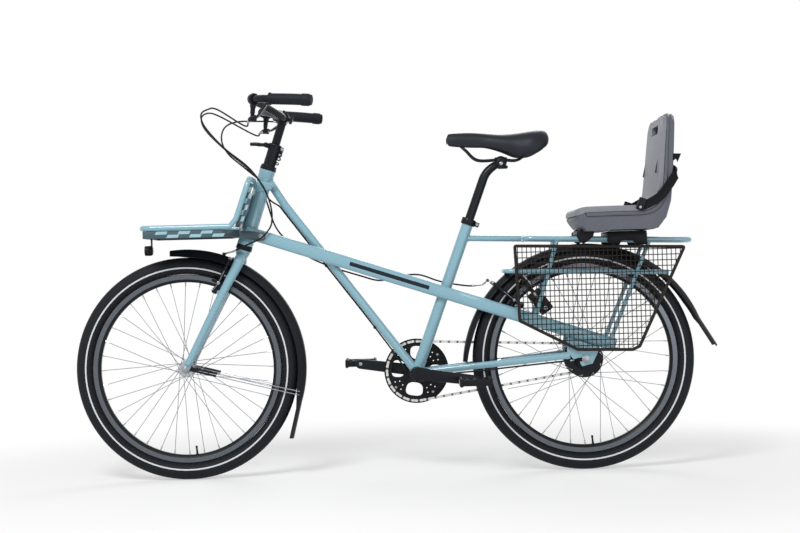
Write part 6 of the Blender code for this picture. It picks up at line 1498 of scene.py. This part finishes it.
rail_z = saddle_head.z + 0.01
rail = [at(0.818, 0.004, 0.978), at(0.843, 0.016, 0.956), at(0.878, 0.021, rail_z),
    Vector((saddle_head.x, 0.022, rail_z)), at(1.003, 0.024, rail_z), at(1.05, 0.038, 0.974)]
settle(joined([tube(smooth(other_side(rail, hand), 7), 0.0035, round_steps=4) for word, hand in sides]
    + [block(at(1.012, 0, 0.9775), (0.05, 0.086, 0.01), edge=0.0035), block(at(0.822, 0, 0.979),
    (0.03, 0.02, 0.012), edge=0.003)]), "saddle_rails_and_base", "seat", satin_black, ["saddle_rails"])
vinyl = surface("saddle_vinyl", shade(31, 33, 40), 0.44, mottle=0.06, scale=60, grain=420, relief=0.00016,
    gloss=0.16)
stations = smooth([Vector(row) for row in (
    (0.788, 0.012, 0.996, 0.985), (0.791, 0.024, 1.0025, 0.977), (0.8, 0.036, 1.007, 0.969), (0.858, 0.046,
    1.008, 0.964), (0.903, 0.058, 1.004, 0.962), (0.948, 0.092, 1.0, 0.95), (0.993, 0.136, 1.002, 0.933),
    (1.033, 0.16, 1.007, 0.934), (1.064, 0.152, 1.009, 0.948), (1.078, 0.13, 1.0065, 0.957), (1.085, 0.106,
    1.0005, 0.967), (1.088, 0.08, 0.992, 0.976))], 4)
rows = []
for x, width, top, skirt in stations:
    half = width / 2
    tall = top - skirt
    under = min(top - 0.022, skirt + 0.026)
    section = [(0, top - 0.0006), (0.25, top - 0.0004), (0.52, top - 0.0026), (0.76, top - 0.008),
        (0.92, top - 0.32 * tall), (1.0, top - 0.58 * tall), (1.0, skirt + 0.14 * tall),
        (0.965, skirt + 0.001), (0.9, skirt + 0.0004), (0.84, skirt + 0.003), (0.55, under - 0.004),
        (0, under)]
    ring = [at(x, half * share, z) for share, z in section]
    rows.append(ring + other_side(ring[-2::-1], -1))
for row in (0, -1):
    middle = sum(rows[row], Vector()) / len(rows[row])
    inner = [spot.lerp(middle, 0.5) + Vector((-0.002 if row == 0 else 0.0012, 0, 0)) for spot in rows[row]]
    core = [middle + Vector((-0.0024 if row == 0 else 0.0014, 0, 0))] * len(inner)
    rows = [core, inner, *rows] if row == 0 else [*rows, inner, core]
pad = skin(rows)
bpy.ops.object.mode_set(mode="EDIT")
bpy.ops.mesh.select_all(action="SELECT")
bpy.ops.mesh.remove_doubles(threshold=0.00002)
bpy.ops.mesh.normals_make_consistent(inside=False)
bpy.ops.object.mode_set(mode="OBJECT")
softer = pad.modifiers.new("round_foam", "SUBSURF")
softer.levels = 2
softer.render_levels = 2
bpy.ops.object.modifier_apply(modifier=softer.name)
settle(pad, "saddle_pad", "seat", vinyl, ["saddle"], 60)

# Child seat: stiff moulded foam in three layers with a hand slot through them, and a paler skin on its back.
# Its top layer is coloured paler as painted light, for the light that falls on it from above.
# It stands on a moulded bracket that clips over the rack's top tubes. A black foot rests on them in front.

foam = surface("seat_foam", shade(84, 87, 96), 0.5, mottle=0.06, scale=70, grain=800, relief=0.0001,
    gloss=0.35)
# Paler grey: the back skin's own colour, and painted light on the top layer, whose top is lit from above.
pale_skin_and_painted_lit_top = surface("seat_pale_skin_and_painted_lit_top", shade(122, 124, 131), 0.52, mottle=0.06, scale=80, grain=800,
    relief=0.0001, gloss=0.35)
front_face = smooth([at(x, 0, z) for x, z in (
    (1.148, 0.748), (1.15, 0.76), (1.158, 0.769), (1.175, 0.7735), (1.195, 0.7745), (1.27, 0.7755),
    (1.34, 0.776), (1.367, 0.783), (1.384, 0.806), (1.392, 0.86), (1.4, 0.93), (1.408, 1.0),
    (1.413, 1.033))], 4)


nose_points = 13


def seat_row(depth):
    """Line at a depth under the seat's front face, less deep towards its top."""
    row = []
    for number, spot in enumerate(front_face):
        run = front_face[min(number + 1, len(front_face) - 1)] - front_face[max(number - 1, 0)]
        thin = 1 - 0.45 * max(0, (spot.z - 0.8) / 0.25)
        row.append(spot + Vector((run.z, 0, -run.x)).normalized() * depth * thin)
    return row


def seat_layer(outline, half, edge, finish):
    """Moulded layer of the seat, cut through by the hand slot."""
    layer = plate([spot - across * half for spot in outline], across * half * 2, edge, 3)
    for word, hand in sides:
        corner = [at(1.37, hand * (half + inset), z) for inset, z in (
            (0.01, 0.99), (-0.0003, 0.99), (-0.003, 1.005), (-0.0105, 1.018), (-0.022, 1.028),
            (-0.036, 1.0345), (-0.05, 1.038), (-0.065, 1.042), (-0.085, 1.046), (-0.085, 1.06),
            (0.01, 1.06))]
        front = [at(x, hand * (half + inset), 0.69) for x, inset in (
            (1.135, 0.01), (1.135, -0.03), (1.148, -0.03), (1.15, -0.018), (1.156, -0.0085),
            (1.165, -0.0025), (1.176, -0.0003), (1.176, 0.01))]
        layer = cut(layer, plate(front, Vector((0, 0, 0.1)), 0))
        layer = cut(layer, plate(corner, Vector((0.1, 0, 0)), 0))
    return painted(cut(layer, block(at(1.425, 0, 0.998), (0.11, 0.116, 0.026), edge=0.008, segments=3)),
        finish)


rear_line = smooth([at(x, 0, z) for x, z in (
    (1.43, 1.043), (1.434, 1.046), (1.4385, 1.04), (1.441, 1.014), (1.437, 0.94), (1.431, 0.85),
    (1.425, 0.79), (1.4105, 0.744), (1.386, 0.712), (1.356, 0.7035), (1.196, 0.7035), (1.178, 0.709),
    (1.156, 0.734), (1.152, 0.7465), (1.162, 0.752), (1.178, 0.756))], 3)
# The top layer takes the paler grey as painted light on its lit top; the middle layer and the body take the
# seat's own grey.
parts = [seat_layer([*seat_row(0), *reversed(seat_row(0.0175)[nose_points:])], 0.146, 0.0065, pale_skin_and_painted_lit_top),
    seat_layer([*seat_row(0.018)[nose_points:], *reversed(seat_row(0.0285)[nose_points:])], 0.1475, 0.0035,
    foam)]
body = seat_layer([*seat_row(0.029)[nose_points:], *rear_line], 0.144, 0.006, foam)
parts.append(cut(body, block(at(1.3035, 0, 0.69), (0.11, 0.33, 0.033), edge=0.002)))
skin_line = [(1.435, 1.038), (1.443, 1.03), (1.445, 1.012), (1.4415, 0.94), (1.4355, 0.85), (1.4295, 0.788),
    (1.415, 0.74), (1.39, 0.708), (1.385, 0.713), (1.409, 0.746), (1.4235, 0.79), (1.4295, 0.85),
    (1.4355, 0.94), (1.439, 1.01)]
parts.append(painted(plate([at(x, -0.13, z) for x, z in skin_line], across * 0.26, 0.001), pale_skin_and_painted_lit_top))
for word, hand in sides:
    slot = [at(1.388, hand * 0.118, 0.868), at(1.3945, hand * 0.118, 0.905)]
    parts.append(painted(tube([slot[0], *slot, slot[1]], [0.0004, 0.0026, 0.0026, 0.0004], round_steps=3),
        gloss_black))
foot_line = [(1.16, 0.704), (1.174, 0.712), (1.212, 0.706), (1.208, 0.69), (1.192, 0.676), (1.179, 0.668),
    (1.168, 0.674), (1.159, 0.69)]
for word, hand in sides:
    parts.append(painted(plate([at(x, hand * 0.0704, z) for x, z in foot_line], across * hand * 0.0056,
        0.0016), gloss_black))
parts.append(painted(block(at(1.184, 0, 0.7005), (0.044, 0.15, 0.012), edge=0.0025), gloss_black))
settle(joined(parts), "child_seat_shell", "frame", foam, ["child_seat"], 40)
bracket_low = rack_z(1.249) + 0.0083
parts = [block(at(1.307, 0, (bracket_low + 0.7027) / 2), (0.116, 0.152, 0.7027 - bracket_low), edge=0.0035,
    segments=3)]
for word, hand in sides:
    wing = [(1.249, 0.6665), (1.283, 0.661), (1.29, 0.675), (1.324, 0.674), (1.331, 0.661), (1.365, 0.662),
        (1.365, 0.6965), (1.249, 0.6995)]
    parts.append(plate([at(x, hand * 0.0703, z) for x, z in wing], across * hand * 0.0077, 0.0018))
settle(joined(parts), "child_seat_bracket_block", "frame", gloss_black, ["child_seat_bracket"])

# Belt: black woven webbing from a buckle on each side round the seat's back, with its free end folded behind.

webbing = surface("belt_webbing", shade(20, 21, 24), 0.7, mottle=0.1, scale=300, grain=1600, relief=0.00018,
    gloss=0.12)
half_belt = [at(1.342, 0.1516, 0.772), at(1.366, 0.152, 0.782), at(1.394, 0.152, 0.799), at(1.418, 0.151,
    0.827), at(1.436, 0.148, 0.852), at(1.4465, 0.135, 0.866), at(1.448, 0.07, 0.88), at(1.448, 0, 0.884)]
belt_line = smooth([*other_side(half_belt, -1), *half_belt[-2::-1]], 6)
parts = [painted(tube(belt_line, 0.001, oval=13), webbing)]
free_end = [at(1.438, 0, 0.922), at(1.46, 0, 0.921), at(1.449, 0, 0.896), at(1.444, 0, 0.906),
    at(1.436, 0, 0.9)]
parts.append(painted(plate([spot - across * 0.14 for spot in free_end], across * 0.0016, 0.0004), webbing))
parts.append(painted(plate([spot.lerp(free_end[0], 0.3) - across * 0.136 for spot in free_end],
    across * 0.0016, 0.0004), webbing))
for word, hand in sides:
    lean = Vector((0.35, 0, 0.94)).normalized()
    spot = at(1.339, hand * 0.1535, 0.778)
    parts.append(painted(block(spot, (0.022, 0.008, 0.036), Vector((lean.z, 0, -lean.x)), lean, 0.0022),
        gloss_black))
    parts.append(painted(rod(spot - lean * 0.01 + across * hand * 0.003, spot - lean * 0.01
        + across * hand * 0.005, 0.004), steel))
settle(joined(parts), "child_seat_belt", "frame", webbing, ["child_seat_strap"])

# Cables: black plastic sleeves over coiled wire with bright end caps. The brakes' end in a bent guide pipe,
# a ribbed rubber bellows and bare wire.

sleeve = surface("cable_sleeve", shade(20, 21, 25), 0.36, mottle=0.06, scale=300, grain=1500, relief=0.00002,
    gloss=0.16)


def cap(line, start, length=0.01):
    """Bright end cap on a cable's end."""
    run = (line[1] - line[0]).normalized() if start else (line[-2] - line[-1]).normalized()
    end = line[0] if start else line[-1]
    return painted(rod(end, end + run * length, 0.0031, 0.0005, 16), polished)


def sleeved(line, *ends):
    """Sleeve along a line, with a bright cap at each end: True is its start."""
    return [painted(tube(line, 0.0025, round_steps=3), sleeve), *[cap(line, start) for start in ends]]


def brake_end(spots):
    """Guide pipe, bellows and wire through the points at a brake."""
    line = smooth(spots, 8)
    gap_line = line[-9:]
    parts = [painted(tube(line[:-8], 0.0024, round_steps=2), polished)]
    bellows = [gap_line[0].lerp(gap_line[-1], 0.62 * step / 24) for step in range(25)]
    parts.append(painted(tube(bellows, [0.0042 if step % 4 < 2 else 0.0033 for step in range(25)]),
        pad_rubber))
    parts.append(painted(tube([bellows[-1], gap_line[-1]], 0.0009, round_steps=2), steel))
    return parts


def hang(parts, name, nodes=()):
    """Settle a cable that runs from one turning part to another."""
    thing = settle(joined(parts), name, None, sleeve, nodes, 60)
    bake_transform(thing)


stops = {}
for word, hand in sides:
    root, out, pull, axis = other_side([blade_root, blade_run, blade_pull, blade_axis], hand)
    exit_run = (pull * 0.004 - out * 0.03).normalized()
    stops[word] = (root - axis * 0.0088 + exit_run * 0.0303, root - axis * 0.0088 + exit_run * 0.065)
front_line = smooth([*stops["left"], *[at(*spot) for spot in (
    (0.125, -0.15, 1.082), (0.092, -0.115, 1.086), (0.07, -0.088, 1.074), (0.078, -0.06, 1.04),
    (0.129, -0.041, 0.98), (0.195, -0.037, 0.925), (0.231, -0.037, 0.88), (0.254, -0.036, 0.835),
    (0.265, -0.038, 0.79), (0.264, -0.044, 0.752), (0.251, -0.05, 0.728), (0.23, -0.0535, 0.708),
    (0.195, -0.06, 0.693), (0.17, -0.058, 0.682), (0.15, -0.052, 0.673))]], 7)
hang([*sleeved(front_line, True, False), *brake_end([at(0.15, -0.052, 0.673), at(0.128, -0.034, 0.669),
    at(0.117, -0.012, 0.668), at(0.118, 0.032, 0.666)])], "brake_cable_front_sleeve",
    ["brake_cable_front"])
rear_eye = at(0.229, 0.037, 0.884)
rear_upper = smooth([*stops["right"], at(0.1, 0.15, 1.09), at(0.067, 0.115, 1.098), at(0.05, 0.085, 1.08),
    at(0.066, 0.06, 1.04), at(0.122, 0.042, 0.982), at(0.188, 0.037, 0.925), rear_eye], 7)
hang(sleeved(rear_upper, True), "brake_cable_rear_upper")
rear_lower = smooth([rear_eye, *[at(*spot) for spot in (
    (0.248, 0.043, 0.81), (0.275, 0.047, 0.735), (0.34, 0.0455, 0.669), (0.42, 0.031, 0.626), (0.52, 0.024,
    0.5915), (0.58, 0.008, 0.576), (0.64, 0.006, 0.588), (0.695, 0.012, 0.59), (0.75, 0.024, 0.571),
    (0.79, 0.0265, 0.561), (0.84, 0.035, 0.553), (0.864, 0.04, 0.553))]], 7)
hang([*sleeved(rear_lower, False), *brake_end([at(0.864, 0.04, 0.553), at(0.884, 0.0395, 0.555),
    at(0.897, 0.03, 0.565), at(0.899, 0.01, 0.5688), at(0.899, -0.04, 0.566)])], "brake_cable_rear_lower",
    ["brake_cable_rear"])
gear_eye = at(0.2285, 0.031, 0.884)
gear_stop = shift_place + shifter_drop * 0.004 - shifter_run * 0.0135
gear_upper = smooth([gear_stop, gear_stop - shifter_run * 0.012, at(0.205, 0.185, 1.076), at(0.15, 0.145,
    1.072), at(0.117, 0.11, 1.052), at(0.11, 0.08, 1.012), at(0.132, 0.052, 0.968), at(0.18, 0.036, 0.925),
    gear_eye], 7)
hang(sleeved(gear_upper, True), "gear_cable_upper")
gear_lower = smooth([gear_eye, *[at(*spot) for spot in (
    (0.245, 0.033, 0.84), (0.262, 0.024, 0.82), (0.286, 0.01, 0.804), (0.303, 0.002, 0.7815),
    (0.42, 0, 0.6245), (0.56, 0, 0.437), (0.637, 0, 0.327), (0.652, -0.002, 0.288), (0.678, -0.009, 0.2735),
    (0.72, -0.019, 0.281), (0.791, -0.0375, 0.297), (0.851, -0.044, 0.3015), (1.0, -0.0565, 0.3152),
    (1.1, -0.061, 0.324), (1.145, -0.052, 0.328))]], 7)
hang([*sleeved(gear_lower), cap(gear_lower, False, 0.014)], "gear_cable_lower",
    ["gear_cable"])
clips = []
for x, z in ((0.42, 0.6245), (0.56, 0.437)):
    clips.append(painted(turned([(-0.004, 0.0026), (-0.004, 0.0044), (0.004, 0.0044), (0.004, 0.0026)],
        at(x, 0, z), down_run, 20), gloss_black))
settle(joined(clips), "cable_clips", "frame", gloss_black)
